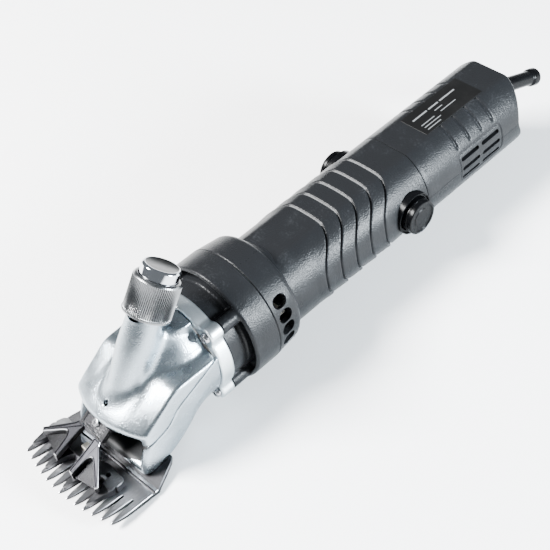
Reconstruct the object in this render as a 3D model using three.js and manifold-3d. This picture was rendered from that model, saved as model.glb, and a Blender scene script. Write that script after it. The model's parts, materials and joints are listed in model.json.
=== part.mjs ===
// Electric sheep shears: a motor handpiece with a swinging cutter over a fixed comb.
// Millimetres, +Z up. X runs along the handle, the comb at -X and the cable at +X, and Y runs across.
// While the pieces are being made, the head's axis is the X axis and X = 0 is the joint between the
// gear cover and the handle. The last lines stand the object on Z = 0, centred over the origin.
import * as THREE from "three";
import { mergeVertices } from "three/addons/utils/BufferGeometryUtils.js";
import Module from "manifold-3d";

const wasm = await Module();
wasm.setup();

// ---- Driving dimensions ---------------------------------------------------------------------
const GAP = 0.3; // clearance between neighbouring pieces
const WALL = 3; // plastic shells and the head casting

// Handle and its rear cover: a round section with a flat along the top
const BODY_RADIUS = 29.7;
const BODY_CENTRE_Z = -2.2;
const FLAT_Z = 24.7;
const RING_RADIUS = 37.8; // collar that meets the gear cover
const RING_END_RADIUS = 35.8;
const RING_LENGTH = 17.3;
const COVER_START = 136.3;
const TAIL_TOP_X = 233;
const TAIL_MID_X = 226;
const SPLIT_Z = -1; // where the two halves of the rear cover meet

// Gear cover and flange
const DRUM_FRONT = -29.3;
const DRUM_RADIUS = 30;
const DRUM_STEP = -18;
const FLANGE_BACK = -29.6;
const FLANGE_FRONT = -38.6;
const FLANGE_RADIUS = 31.5;
const EAR_RADIUS = 32.4; // from the axis to each flange screw
const EAR_ROUND = 5;
const SCREW_ANGLES = [45, 135, 225, 315];

// Motor and gears
const MOTOR_Z = -3.5;
const MODULE = 1;
const PINION_TEETH = 6;
const GEAR_TEETH = 26;
const CRANK_Z = MOTOR_Z + (MODULE * (PINION_TEETH + GEAR_TEETH)) / 2;
const SHAFT_RADIUS = 4;
const CRANK_THROW = 2.65;

// Switch
const SWITCH_X = 121.5;
const BUTTON_RADIUS = 11;
const BUTTON_FACE_Y = 37;

// Comb and cutter
const TOOTH_PITCH = 6.12;
const COMB_TEETH = 13;
const COMB_TIP_X = -138.7;
const COMB_ROOT_X = -120;
const COMB_HEEL_X = -107;
const COMB_REAR_X = -82;
const COMB_ARC = 210; // an edge that runs along the comb moves back by y * y / COMB_ARC
const COMB_HALF_WIDTH = 38.7;
const COMB_REAR_HALF_WIDTH = 31.5;
const COMB_TOP_Z = -34.9; // top face at the heel
const COMB_PITCH = THREE.MathUtils.degToRad(4.1);
const COMB_THICKNESS = 3.2;
const COMB_SCREW_X = -89;
const COMB_SCREW_Y = 19;
const CUTTER_THICKNESS = 4.8;
const TINE_HALF_WIDTH = 3.6;

// Fork
const FULCRUM_X = -53;
const REST_SWING = THREE.MathUtils.degToRad(-6.6); // the fork is stored at the far end of its stroke
const FORK_HALF_WIDTH = 10.8;

// Tension post: its axis leans back from the nose
const TENSION_LEAN = THREE.MathUtils.degToRad(35.5);
const NUT_FOOT = new THREE.Vector3(-56.9, 0, 41.8); // on the axis, at the bottom of the nut
const NUT_RADIUS = 13.6;
const NUT_LENGTH = 22.2;
const CAP_RADIUS = 10.9;
const CAP_TOP = 28.9; // measured along the axis from NUT_FOOT
const POST_RADIUS = 10.3;

// ---- Materials ------------------------------------------------------------------------------
function finish(color, roughness, metalness) {
  return new THREE.MeshStandardMaterial({ color, roughness, metalness });
}
const MATERIALS = {
  plastic: finish(0x33363b, 0.55, 0),
  plate: finish(0x141517, 0.4, 0),
  rubber: finish(0x22252a, 0.7, 0),
  casting: finish(0xc3c9cc, 0.38, 0.9),
  flange: finish(0xd8dcde, 0.3, 0.95),
  combSteel: finish(0xa9abad, 0.3, 1),
  cutterSteel: finish(0x55585b, 0.35, 1),
  forkSteel: finish(0x3b3d3f, 0.45, 1),
  nut: finish(0xb9b6b0, 0.35, 1),
  chrome: finish(0xe0e2e4, 0.12, 1),
  screw: finish(0xbfc1c2, 0.3, 1),
  bearing: finish(0x9fa3a6, 0.25, 1),
  laminations: finish(0x5b5d60, 0.5, 1),
  copper: finish(0xb06a3c, 0.35, 1),
  carbon: finish(0x1d1d1e, 0.8, 0),
  brass: finish(0xb59a4e, 0.35, 1),
  nylon: finish(0xd9d6c8, 0.5, 0),
};

// ---- Making and cutting solids --------------------------------------------------------------

// A closed geometry as a solid, with its faces turned outwards.
function solidFrom(geometry) {
  geometry.deleteAttribute("normal");
  geometry.deleteAttribute("uv");
  const merged = mergeVertices(geometry, 1e-4);
  const index = merged.index.array;
  const corners = [];
  for (let i = 0; i < index.length; i += 3) {
    const [a, b, c] = [index[i], index[i + 1], index[i + 2]];
    if (a !== b && b !== c && c !== a) corners.push(a, b, c);
  }
  const build = (order) =>
    new wasm.Manifold(
      new wasm.Mesh({
        numProp: 3,
        vertProperties: merged.attributes.position.array,
        triVerts: new Uint32Array(order),
      }),
    );
  const made = build(corners);
  if (made.volume() > 0) return made;
  return build(corners.map((_, i) => corners[i + 2 - 2 * (i % 3)]));
}

const union = (...solids) => solids.reduce((all, one) => all.add(one));
const cut = (solid, ...tools) => tools.reduce((rest, tool) => rest.subtract(tool), solid);

// An outline extruded along one axis. Points are (x, y) for "z", (x, z) for "y" and (y, z) for "x".
function slab(points, axis, from, to) {
  const shape = new THREE.Shape(points.map(([a, b]) => new THREE.Vector2(a, b)));
  const geometry = new THREE.ExtrudeGeometry(shape, { depth: to - from, bevelEnabled: false });
  const frames = {
    x: [[0, 1, 0], [0, 0, 1], [1, 0, 0], [from, 0, 0]],
    y: [[1, 0, 0], [0, 0, 1], [0, -1, 0], [0, to, 0]],
    z: [[1, 0, 0], [0, 1, 0], [0, 0, 1], [0, 0, from]],
  };
  const [right, up, depth, origin] = frames[axis].map((v) => new THREE.Vector3(...v));
  geometry.applyMatrix4(new THREE.Matrix4().makeBasis(right, up, depth).setPosition(origin));
  return solidFrom(geometry);
}

function block([x0, x1], [y0, y1], [z0, z1]) {
  return slab([[x0, y0], [x1, y0], [x1, y1], [x0, y1]], "z", z0, z1);
}

// A profile of (distance along the axis, radius) points turned round an axis.
function turned(profile, origin, direction, sides = 32) {
  const points = [...profile, profile[0]].map(([along, radius]) => new THREE.Vector2(radius, along));
  const geometry = new THREE.LatheGeometry(points, sides);
  const turn = new THREE.Quaternion().setFromUnitVectors(
    new THREE.Vector3(0, 1, 0),
    direction.clone().normalize(),
  );
  geometry.applyQuaternion(turn);
  geometry.translate(...origin.toArray());
  return solidFrom(geometry);
}

const X_AXIS = new THREE.Vector3(1, 0, 0);
const Y_AXIS = new THREE.Vector3(0, 1, 0);
const Z_AXIS = new THREE.Vector3(0, 0, 1);
const at = (x, y, z) => new THREE.Vector3(x, y, z);

// A round bar, or a ring when inner is given, from one distance to another along an axis.
function round(origin, direction, from, to, radius, inner = 0, sides = 24) {
  return turned([[from, inner], [from, radius], [to, radius], [to, inner]], origin, direction, sides);
}

// A closed skin over a row of outlines that all have the same number of points.
function loft(outlines) {
  const count = outlines[0].length;
  const positions = outlines.flatMap((outline) => outline.flatMap((p) => p.toArray()));
  const index = [];
  for (let row = 0; row + 1 < outlines.length; row += 1) {
    for (let i = 0; i < count; i += 1) {
      const [a, b] = [row * count + i, row * count + ((i + 1) % count)];
      index.push(a, b, b + count, a, b + count, a + count);
    }
  }
  for (const [row, flip] of [[0, true], [outlines.length - 1, false]]) {
    for (let i = 1; i + 1 < count; i += 1) {
      const fan = [row * count, row * count + i, row * count + i + 1];
      index.push(...(flip ? fan.reverse() : fan));
    }
  }
  const geometry = new THREE.BufferGeometry();
  geometry.setAttribute("position", new THREE.Float32BufferAttribute(positions, 3));
  geometry.setIndex(index);
  return solidFrom(geometry);
}

// A straight bar of rectangular section that tapers from one point to another.
function taperedBar(start, end, [width0, height0], [width1, height1]) {
  const side = end.clone().sub(start).cross(Z_AXIS).normalize();
  const corners = [[-1, -1], [1, -1], [1, 1], [-1, 1]];
  const section = (centre, width, height) =>
    corners.map(([s, t]) =>
      centre.clone().addScaledVector(side, (s * width) / 2).addScaledVector(Z_AXIS, (t * height) / 2),
    );
  return loft([section(start, width0, height0), section(end, width1, height1)]);
}

const onCircle = (radius, degrees) => {
  const angle = THREE.MathUtils.degToRad(degrees);
  return [radius * Math.cos(angle), radius * Math.sin(angle)];
};

// ---- The scene graph ------------------------------------------------------------------------
const shears = new THREE.Group();
const fork = new THREE.Group(); // everything that swings over the comb
shears.add(fork);

function geometryFrom(solid) {
  const mesh = solid.getMesh();
  const positions = new Float32Array(mesh.numVert * 3);
  for (let i = 0; i < mesh.numVert; i += 1) {
    positions.set(mesh.vertProperties.subarray(i * mesh.numProp, i * mesh.numProp + 3), i * 3);
  }
  const geometry = new THREE.BufferGeometry();
  geometry.setAttribute("position", new THREE.BufferAttribute(positions, 3));
  geometry.setIndex(new THREE.BufferAttribute(new Uint32Array(mesh.triVerts), 1));
  geometry.computeVertexNormals();
  return geometry;
}

function addPiece(name, solid, material, parent = shears) {
  const mesh = new THREE.Mesh(geometryFrom(solid), MATERIALS[material]);
  mesh.name = name;
  parent.add(mesh);
}

// ---- Handle ---------------------------------------------------------------------------------

// The handle's section: an arc with a flat across its top, drawn `inset` inside the outer surface.
function bodySection(inset = 0, sides = 30) {
  const radius = BODY_RADIUS - inset;
  const crease = Math.asin((FLAT_Z - inset - BODY_CENTRE_Z) / radius);
  const sweep = 2 * Math.PI - (Math.PI - 2 * crease);
  return Array.from({ length: sides + 1 }, (_, i) => {
    const angle = Math.PI - crease + (sweep * i) / sides;
    return [radius * Math.cos(angle), BODY_CENTRE_Z + radius * Math.sin(angle)];
  });
}

// A slot with round ends, cut radially through the handle's near or far wall.
function sideSlot(xFrom, xTo, z, height, side) {
  const half = height / 2;
  const ends = [[xFrom + half, 90], [xTo - half, -90]];
  const points = ends.flatMap(([x, start]) =>
    [0, 45, 90, 135, 180].map((step) => {
      const [a, b] = onCircle(half, start + step);
      return [x + a, z + b];
    }),
  );
  return side > 0 ? slab(points, "y", 20, 45) : slab(points, "y", -45, -20);
}

function handleShell() {
  const collar = turned(
    [[0, 0], [0, RING_RADIUS], [2, RING_RADIUS], [RING_LENGTH - 2, RING_END_RADIUS],
      [RING_LENGTH, RING_END_RADIUS - 2], [RING_LENGTH + 5, BODY_RADIUS - 3], [RING_LENGTH + 5, 0]],
    at(0, 0, 0), X_AXIS, 40,
  );
  const barrel = slab(bodySection(), "x", RING_LENGTH - 4, COVER_START - GAP);
  const collarBore = turned(
    [[-1, 0], [-1, 33.8], [RING_LENGTH - 4, 32.2], [RING_LENGTH + 1, 26.2], [RING_LENGTH + 1, 0]],
    at(0, 0, 0), X_AXIS, 40,
  );
  const barrelBore = slab(bodySection(WALL), "x", RING_LENGTH - 5, COVER_START + 1);
  const vents = [30, 15, 1, -14, -30].flatMap((degrees) =>
    [degrees, 180 - degrees].map((angle) => {
      const [y, z] = onCircle(1, angle);
      return round(at(7.6, 0, 0), at(0, y, z), 29, 40, 2.9, 0, 10);
    }),
  );
  const sockets = [-1, 1].map((side) =>
    round(at(SWITCH_X, 0, -1.4), at(0, side, 0), 24, 30.6, BUTTON_RADIUS + 2.6, 0, 28),
  );
  const buttonHole = round(at(SWITCH_X, 0, -1.4), Y_AXIS, -40, 40, BUTTON_RADIUS + 0.4, 0, 28);
  const solid = union(collar, barrel);
  const hollow = cut(solid, collarBore, barrelBore, ...vents);
  return cut(union(hollow, ...sockets), buttonHole);
}

// Lower or upper half of the rear cover, each with a wall across the tail.
function rearCover(upper) {
  const outside = slab(bodySection(), "x", COVER_START, TAIL_TOP_X);
  const inside = slab(bodySection(WALL), "x", COVER_START - 1, TAIL_MID_X - WALL - 1);
  const tailCut = slab(
    [[TAIL_TOP_X, FLAT_Z + 1], [TAIL_MID_X, SPLIT_Z], [TAIL_MID_X + 3, SPLIT_Z - 14],
      [TAIL_MID_X, -40], [TAIL_TOP_X + 9, -40], [TAIL_TOP_X + 9, FLAT_Z + 1]],
    "y", -40, 40,
  );
  const [low, high] = upper ? [SPLIT_Z + GAP / 2, 40] : [-40, SPLIT_Z - GAP / 2];
  const half = block([COVER_START - 2, TAIL_TOP_X + 2], [-40, 40], [low, high]);
  const slots = [-1, 1].flatMap((side) =>
    [6.1, -0.7, -7.5].flatMap((z) => [
      sideSlot(168.6, 185.4, z, 2.6, side),
      sideSlot(188, 204.6, z, 2.6, side),
    ]),
  );
  const plateSeat = block([157.5, 210.5], [-11.1, 11.1], [FLAT_Z - 0.7, FLAT_Z + 1]);
  const bootHole = round(BOOT_ROOT, BOOT_DIRECTION, -12, 12, BOOT_RADIUS + GAP, 0, 24);
  const screwHoles = REAR_SCREWS_X.map((x) => round(at(x, 0, 0), Z_AXIS, -40, -20, 1.9, 0, 12));
  return cut(outside.intersect(half), inside, tailCut, ...slots, plateSeat, bootHole, ...screwHoles);
}

const BOOT_ROOT = at(226, 0, 8.8);
const BOOT_DIRECTION = at(54, 0, -21).normalize();
const BOOT_RADIUS = 5.1;
const BOOT_LENGTH = 57;
const REAR_SCREWS_X = [148, 214];

function cableBoot() {
  return turned(
    [[-10.5, 3.4], [-10.5, 6.6], [-8.2, 6.6], [-8.2, BOOT_RADIUS], [BOOT_LENGTH - 8, BOOT_RADIUS - 0.3],
      [BOOT_LENGTH - 6, 6], [BOOT_LENGTH - 1, 6], [BOOT_LENGTH, 5], [BOOT_LENGTH, 3.4]],
    BOOT_ROOT, BOOT_DIRECTION, 24,
  );
}

addPiece("handle_shell", handleShell(), "plastic");
addPiece("rear_cover_upper", rearCover(true), "plastic");
addPiece("rear_cover_lower", rearCover(false), "plastic");
addPiece("rating_plate", block([157.8, 210.2], [-10.8, 10.8], [FLAT_Z - 0.4, FLAT_Z + 0.2]), "plate");
addPiece("cable_boot", cableBoot(), "rubber");

REAR_SCREWS_X.forEach((x, i) => {
  const bottom = BODY_CENTRE_Z - BODY_RADIUS;
  const head = round(at(x, 0, 0), Z_AXIS, bottom - 1.6, bottom - GAP, 3.2, 0, 16);
  const shank = round(at(x, 0, 0), Z_AXIS, bottom - 1, bottom + 8, 1.5, 0, 12);
  addPiece(`rear_cover_screw_${i + 1}`, union(head, shank), "screw");
});

// ---- Switch ---------------------------------------------------------------------------------
const SWITCH_CENTRE = at(SWITCH_X, 0, -1.4);

[["near", -1], ["far", 1]].forEach(([name, side]) => {
  const profile = [[27, 0], [27, BUTTON_RADIUS], [BUTTON_FACE_Y - 1.2, BUTTON_RADIUS],
    [BUTTON_FACE_Y, BUTTON_RADIUS - 1.2], [BUTTON_FACE_Y, 0]];
  addPiece(`button_${name}`, turned(profile, SWITCH_CENTRE, at(0, side, 0), 32), "rubber");
});
addPiece("switch_bar", round(SWITCH_CENTRE, Y_AXIS, -26.7, 26.7, 4.2), "nylon");
addPiece(
  "switch_body",
  cut(
    block([113, 130], [-12, 12], [-12, 9]),
    round(SWITCH_CENTRE, Y_AXIS, -13, 13, 4.7),
  ),
  "plate",
);

// ---- Gear cover -----------------------------------------------------------------------------
function gearCover() {
  const drum = turned(
    [[DRUM_FRONT, 0], [DRUM_FRONT, DRUM_RADIUS], [DRUM_STEP, DRUM_RADIUS],
      [DRUM_STEP, RING_RADIUS - 2.2], [DRUM_STEP + 2.2, RING_RADIUS], [-GAP, RING_RADIUS], [-GAP, 0]],
    at(0, 0, 0), X_AXIS, 40,
  );
  const hollow = turned(
    [[-26, 0], [-26, 27], [DRUM_STEP + 1, 27], [DRUM_STEP + 3, 33.8], [1, 33.8], [1, 0]],
    at(0, 0, 0), X_AXIS, 40,
  );
  const columns = SCREW_ANGLES.map((angle) => {
    const [y, z] = onCircle(EAR_RADIUS, angle);
    return round(at(0, y, z), X_AXIS, DRUM_FRONT, DRUM_STEP + 1, 4.6, 0, 16);
  });
  const hub = round(at(0, 0, CRANK_Z), X_AXIS, -26.5, -24, 12);
  const bearingSeat = round(at(0, 0, CRANK_Z), X_AXIS, -30, -23, 9.5 + GAP);
  const screwBores = SCREW_ANGLES.map((angle) => {
    const [y, z] = onCircle(EAR_RADIUS, angle);
    return round(at(0, y, z), X_AXIS, -31, -19, 2, 0, 12);
  });
  return cut(union(cut(drum, hollow), ...columns, hub), bearingSeat, ...screwBores);
}
addPiece("gear_cover", gearCover(), "plastic");

const PLATE_BACK = -0.5;
const PLATE_FRONT = -6.5;
addPiece(
  "bearing_plate",
  cut(
    round(at(0, 0, 0), X_AXIS, PLATE_FRONT, PLATE_BACK, 33.4, 0, 48),
    round(at(0, 0, MOTOR_Z), X_AXIS, -8, 1, 8 + GAP),
    round(at(0, 0, CRANK_Z), X_AXIS, -8, 1, 6.5 + GAP),
    ...[-24, 24].map((y) => round(at(0, y, -6), X_AXIS, -8, 1, 5)),
  ),
  "casting",
);

// ---- Gears and crank ------------------------------------------------------------------------

// Slim straight-sided teeth that run with backlash. The outline starts in the middle of a tooth.
function gearOutline(teeth, phase) {
  const pitchRadius = (MODULE * teeth) / 2;
  const step = (2 * Math.PI) / teeth;
  const toothForm = [
    [-0.3, -1.15], [-0.17, 0], [-0.08, 0.75], [0.08, 0.75], [0.17, 0], [0.3, -1.15],
  ];
  return Array.from({ length: teeth }, (_, tooth) =>
    toothForm.map(([turn, height]) => {
      const angle = phase + (tooth + turn) * step;
      const radius = pitchRadius + height * MODULE;
      return [radius * Math.cos(angle), radius * Math.sin(angle)];
    }),
  ).flat();
}

// The pinion has a tooth pointing up at the gear, and the gear has a gap pointing down at it.
const pinionOutline = gearOutline(PINION_TEETH, Math.PI / 2).map(([y, z]) => [y, z + MOTOR_Z]);
const gearGap = -Math.PI / 2 + Math.PI / GEAR_TEETH;
const wheelOutline = gearOutline(GEAR_TEETH, gearGap).map(([y, z]) => [y, z + CRANK_Z]);

addPiece(
  "armature_shaft",
  union(
    round(at(0, 0, MOTOR_Z), X_AXIS, -11.5, 108, SHAFT_RADIUS),
    slab(pinionOutline, "x", -21, -11),
  ),
  "bearing",
);
addPiece(
  "drive_gear",
  cut(
    slab(wheelOutline, "x", -20, -12),
    round(at(0, 0, CRANK_Z), X_AXIS, -21, -11, SHAFT_RADIUS + GAP),
  ),
  "forkSteel",
);
addPiece(
  "crank_shaft",
  union(
    round(at(0, 0, CRANK_Z), X_AXIS, -30.5, -10, SHAFT_RADIUS),
    round(at(0, 0, CRANK_Z), X_AXIS, -10.5, -0.6, 2.7),
    round(at(0, 0, CRANK_Z), X_AXIS, -33.4, -30, 8, 0, 28),
  ),
  "bearing",
);
addPiece("crank_pin", round(at(0, 0, CRANK_Z + CRANK_THROW), X_AXIS, -40, -33.7, 2, 0, 16), "screw");
addPiece("crank_roller", round(at(0, 0, CRANK_Z + CRANK_THROW), X_AXIS, -39.5, -34.5, 4, 2.3, 20), "bearing");
addPiece("crank_bearing_front", round(at(0, 0, CRANK_Z), X_AXIS, -29, -24, 9.5, SHAFT_RADIUS + GAP), "bearing");
addPiece("crank_bearing_rear", round(at(0, 0, CRANK_Z), X_AXIS, -6, -1, 6.5, 3), "bearing");

// ---- Motor ----------------------------------------------------------------------------------
const motorRing = (from, to, radius, inner, sides) =>
  round(at(0, 0, MOTOR_Z), X_AXIS, from, to, radius, inner, sides);
const onShaft = SHAFT_RADIUS + GAP;

addPiece("motor_bearing_front", motorRing(-6, -1, 8, onShaft), "bearing");
addPiece("motor_bearing_rear", motorRing(99.5, 105.5, 9.5, onShaft), "bearing");
addPiece("armature_core", motorRing(26, 74, 14.4, onShaft, 36), "laminations");
addPiece("commutator", motorRing(82, 96, 10, onShaft, 28), "copper");
addPiece("stator", motorRing(24, 76, 24, 15.2, 40), "laminations");

const fanBlades = Array.from({ length: 10 }, (_, i) => {
  const [y, z] = onCircle(1, 36 * i);
  const start = at(13, 8 * y, MOTOR_Z + 8 * z);
  const end = at(13, 23.5 * y, MOTOR_Z + 23.5 * z);
  const across = at(0, -z, y).multiplyScalar(0.7);
  const along = at(4.5, 0, 0);
  const section = (centre) =>
    [[-1, -1], [1, -1], [1, 1], [-1, 1]].map(([s, t]) =>
      centre.clone().addScaledVector(across, s).addScaledVector(along, t),
    );
  return loft([section(start), section(end)]);
});
addPiece(
  "cooling_fan",
  cut(
    union(motorRing(8.5, 17, 9, 0), motorRing(8.5, 10, 23.5, 0, 30), ...fanBlades),
    motorRing(0, 20, onShaft, 0),
  ),
  "nylon",
);

const bracketSection = bodySection(WALL + 0.5);
addPiece(
  "motor_rear_bracket",
  cut(
    slab(bracketSection, "x", 98, 107),
    motorRing(97, 108, 9.5 + GAP, 0),
    ...[-18, 18].map((y) => round(at(0, y, -6), X_AXIS, 97, 108, 4.5)),
  ),
  "plate",
);

// Carbon brushes bear on the commutator from both sides, each in a holder with its spring behind.
[["near", -1], ["far", 1]].forEach(([name, side]) => {
  const span = (from, to) => (side > 0 ? [from, to] : [-to, -from]);
  const square = (half) => [[89 - half, 89 + half], [MOTOR_Z - half, MOTOR_Z + half]];
  const [brushX, brushZ] = square(2.6);
  const [outerX, outerZ] = square(4.4);
  const [innerX, innerZ] = square(2.9);
  const [springFrom, springTo] = [18.6, 23.2];
  addPiece(
    `brush_holder_${name}`,
    cut(block(outerX, span(11.5, 25), outerZ), block(innerX, span(11, 23.5), innerZ)),
    "brass",
  );
  addPiece(`brush_${name}`, block(brushX, span(10.4, 18.3), brushZ), "carbon");
  addPiece(
    `brush_spring_${name}`,
    round(at(89, 0, MOTOR_Z), at(0, side, 0), springFrom, springTo, 2.2, 1.5, 12),
    "screw",
  );
});

// ---- Flange and its screws ------------------------------------------------------------------
addPiece(
  "head_flange",
  cut(
    union(
      round(at(0, 0, 0), X_AXIS, FLANGE_FRONT, FLANGE_BACK, FLANGE_RADIUS, 0, 48),
      ...SCREW_ANGLES.map((angle) => {
        const [y, z] = onCircle(EAR_RADIUS, angle);
        return round(at(0, y, z), X_AXIS, FLANGE_FRONT, FLANGE_BACK, EAR_ROUND, 0, 16);
      }),
    ),
    round(at(0, 0, 0), X_AXIS, -40, -28, 26.5, 0, 40),
    ...SCREW_ANGLES.map((angle) => {
      const [y, z] = onCircle(EAR_RADIUS, angle);
      return round(at(0, y, z), X_AXIS, -40, -28, 2.1, 0, 12);
    }),
  ),
  "flange",
);
SCREW_ANGLES.forEach((angle, i) => {
  const [y, z] = onCircle(EAR_RADIUS, angle);
  const head = round(at(0, y, z), X_AXIS, FLANGE_FRONT - 2.4, FLANGE_FRONT - GAP, 3.4, 0, 16);
  const shank = round(at(0, y, z), X_AXIS, FLANGE_FRONT - 2, DRUM_STEP - 2, 1.7, 0, 12);
  addPiece(`flange_screw_${i + 1}`, union(head, shank), "screw");
});

// ---- Head castings --------------------------------------------------------------------------

// Sections of the head from the flange to the nose: half width, top, widest level and bottom, and
// how square the upper and lower halves are (2 is an ellipse).
const HEAD_SECTIONS = [
  { x: -38.9, half: 30, top: 30, waist: 0, bottom: -30, upper: 2, lower: 2 },
  { x: -50, half: 30, top: 26.5, waist: 0, bottom: -30.3, upper: 2.4, lower: 2.2 },
  { x: -60, half: 29.8, top: 20.5, waist: -3, bottom: -31.2, upper: 3.2, lower: 2.6 },
  { x: -70, half: 29.6, top: 14.5, waist: -6, bottom: -32.8, upper: 3.6, lower: 3.2 },
  { x: -80, half: 29.5, top: 9.5, waist: -9, bottom: -34, upper: 3, lower: 4 },
  { x: -90, half: 29.3, top: 5.5, waist: -12, bottom: -35.5, upper: 2.6, lower: 5 },
  { x: -98, half: 28.8, top: 1, waist: -14, bottom: -36, upper: 2.4, lower: 6 },
  { x: -103, half: 28, top: -3.6, waist: -14.5, bottom: -36, upper: 2.3, lower: 6 },
];
const SEAM = [[-105, -13.2], [-86, -12.2], [-78, -9], [-70, -1.5], [-62, 1.8], [-36, 13]];
const NOSE_X = -102.5;
const NOSE_ARC = 98; // the nose edge moves back by y * y / NOSE_ARC
const CHEEK_X = -95; // front end of the lower casting's side walls

function headSection({ x, half, top, waist, bottom, upper, lower }, inset) {
  const sides = 36;
  return Array.from({ length: sides }, (_, i) => {
    const angle = (2 * Math.PI * i) / sides;
    const [c, s] = [Math.cos(angle), Math.sin(angle)];
    const square = s >= 0 ? upper : lower;
    const reach = s >= 0 ? top - waist - inset : waist - bottom - inset;
    const y = (half - inset) * Math.sign(c) * Math.abs(c) ** (2 / square);
    const z = waist + reach * Math.sign(s) * Math.abs(s) ** (2 / square);
    return at(x, y, z);
  });
}

function headBody(inset) {
  const sections = HEAD_SECTIONS.map((section) => headSection(section, inset));
  if (inset > 0) {
    sections[0].forEach((p) => p.setX(p.x + 1));
    sections[sections.length - 1].forEach((p) => p.setX(p.x - 1));
  }
  return loft(sections);
}

// The comb's seat under the nose slopes down towards the front.
const seatZ = (x) => -31.3 + 0.205 * (x - COMB_REAR_X);
const belowSeat = () =>
  slab([[-110, seatZ(-110)], [-78, seatZ(-78)], [-78, -45], [-110, -45]], "y", -45, 45);

function noseTrim() {
  const arc = Array.from({ length: 13 }, (_, i) => {
    const y = -42 + 7 * i;
    return [NOSE_X + (y * y) / NOSE_ARC, y];
  });
  return slab([...arc, [-130, 42], [-130, -42]], "z", -50, 50);
}

// Room for the heads of the flange screws, and for a screwdriver in front of them.
const screwPockets = () =>
  SCREW_ANGLES.map((angle) => {
    const [y, z] = onCircle(EAR_RADIUS, angle);
    return round(at(0, y, z), X_AXIS, -56, -38, 4.1, 0, 16);
  });

const TENSION_AXIS = at(Math.sin(TENSION_LEAN), 0, Math.cos(TENSION_LEAN));
const PIN_RADIUS = 3.5;

function headUpper() {
  const post = turned(
    [[-54, 0], [-54, 7.4], [-38, 9], [-24, 10.4], [-2, POST_RADIUS], [11, POST_RADIUS], [11, 0]],
    NUT_FOOT, TENSION_AXIS, 32,
  );
  const web = slab(
    [[-78, 8], [-68, 26], [-60, 31], [-50, 27.5], [-39, 27], [-39, 8]], "y", -8, 8,
  );
  const boss = round(at(-41, 0, 0), Z_AXIS, 10, 28, 12.5, 0, 32);
  const rearTrim = block([-38.9, -20], [-40, 40], [-40, 80]);
  const above = slab([...SEAM.map(([x, z]) => [x, z + GAP / 2]), [-36, 90], [-105, 90]], "y", -45, 45);
  const pinBore = round(NUT_FOOT, TENSION_AXIS, -70, 20, PIN_RADIUS + GAP, 0, 20);
  const oilHole = round(at(-95.1, 0, 0), Z_AXIS, -6, 12, 1.5, 0, 12);
  const whole = union(headBody(0), post, web, boss).intersect(above);
  return cut(whole, headBody(WALL), noseTrim(), rearTrim, pinBore, oilHole, ...screwPockets());
}

function headLower() {
  const below = slab([...SEAM.map(([x, z]) => [x, z - GAP / 2]), [-36, -60], [-105, -60]], "y", -45, 45);
  const cheeks = block([-120, CHEEK_X], [-45, 45], [-28.5, 20]);
  const lip = block([-120, -98.5], [-45, 45], [-50, 20]);
  const floor = slab([[-99, -28.5], [-80, -28.5], [-80, -34], [-99, -40]], "y", -28.5, 28.5);
  const shell = cut(headBody(0), headBody(WALL));
  const whole = union(shell, floor).intersect(below);
  const screwHoles = [-1, 1].map((side) =>
    round(at(COMB_SCREW_X, side * COMB_SCREW_Y, 0), Z_AXIS, -45, -20, 3.1, 0, 16),
  );
  const postHole = round(at(FULCRUM_X, 0, 0), Z_AXIS, -45, -20, 4.3, 0, 20);
  const rearTrim = block([-38.9, -20], [-40, 40], [-40, 40]);
  return cut(whole, belowSeat(), cheeks, lip, rearTrim, ...screwHoles, postHole, ...screwPockets());
}

addPiece("head_upper", headUpper(), "casting");
addPiece("head_lower", headLower(), "casting");

addPiece(
  "fulcrum_post",
  turned(
    [[-34.4, 0], [-34.4, 4], [-26.7, 4], [-26.7, 7], [-24, 7], [-24, 4], [-5, 4], [-2.6, 2.6], [-2, 0]],
    at(FULCRUM_X, 0, 0), Z_AXIS, 24,
  ),
  "screw",
);
addPiece(
  "fulcrum_lock_nut",
  cut(
    round(at(FULCRUM_X, 0, 0), Z_AXIS, -34.2, -31.4, 7.2, 0, 6),
    round(at(FULCRUM_X, 0, 0), Z_AXIS, -36, -30, 4 + GAP),
  ),
  "screw",
);

// ---- Tension post parts ---------------------------------------------------------------------
addPiece("tension_pin", round(NUT_FOOT, TENSION_AXIS, -51.2, 13.6, PIN_RADIUS, 0, 20), "screw");
addPiece(
  "tension_nut",
  turned(
    [[0, CAP_RADIUS + GAP], [0, NUT_RADIUS - 1], [1, NUT_RADIUS], [NUT_LENGTH - 1, NUT_RADIUS],
      [NUT_LENGTH, NUT_RADIUS - 1], [NUT_LENGTH, CAP_RADIUS + GAP]],
    NUT_FOOT, TENSION_AXIS, 40,
  ),
  "nut",
);
addPiece(
  "tension_cap",
  turned(
    [[14, 0], [14, CAP_RADIUS], [CAP_TOP - 0.8, CAP_RADIUS], [CAP_TOP, CAP_RADIUS - 0.8], [CAP_TOP, 0]],
    NUT_FOOT, TENSION_AXIS, 36,
  ),
  "chrome",
);

// ---- Comb -----------------------------------------------------------------------------------
const combArc = (x, y) => x + (y * y) / COMB_ARC;
const combToWorld = (solid) => {
  // Drawn flat with its top face at Z = 0, then pitched about the heel line.
  const degrees = THREE.MathUtils.radToDeg(COMB_PITCH);
  return solid.translate([-COMB_HEEL_X, 0, 0]).rotate([0, degrees, 0]).translate([COMB_HEEL_X, 0, COMB_TOP_Z]);
};

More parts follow.
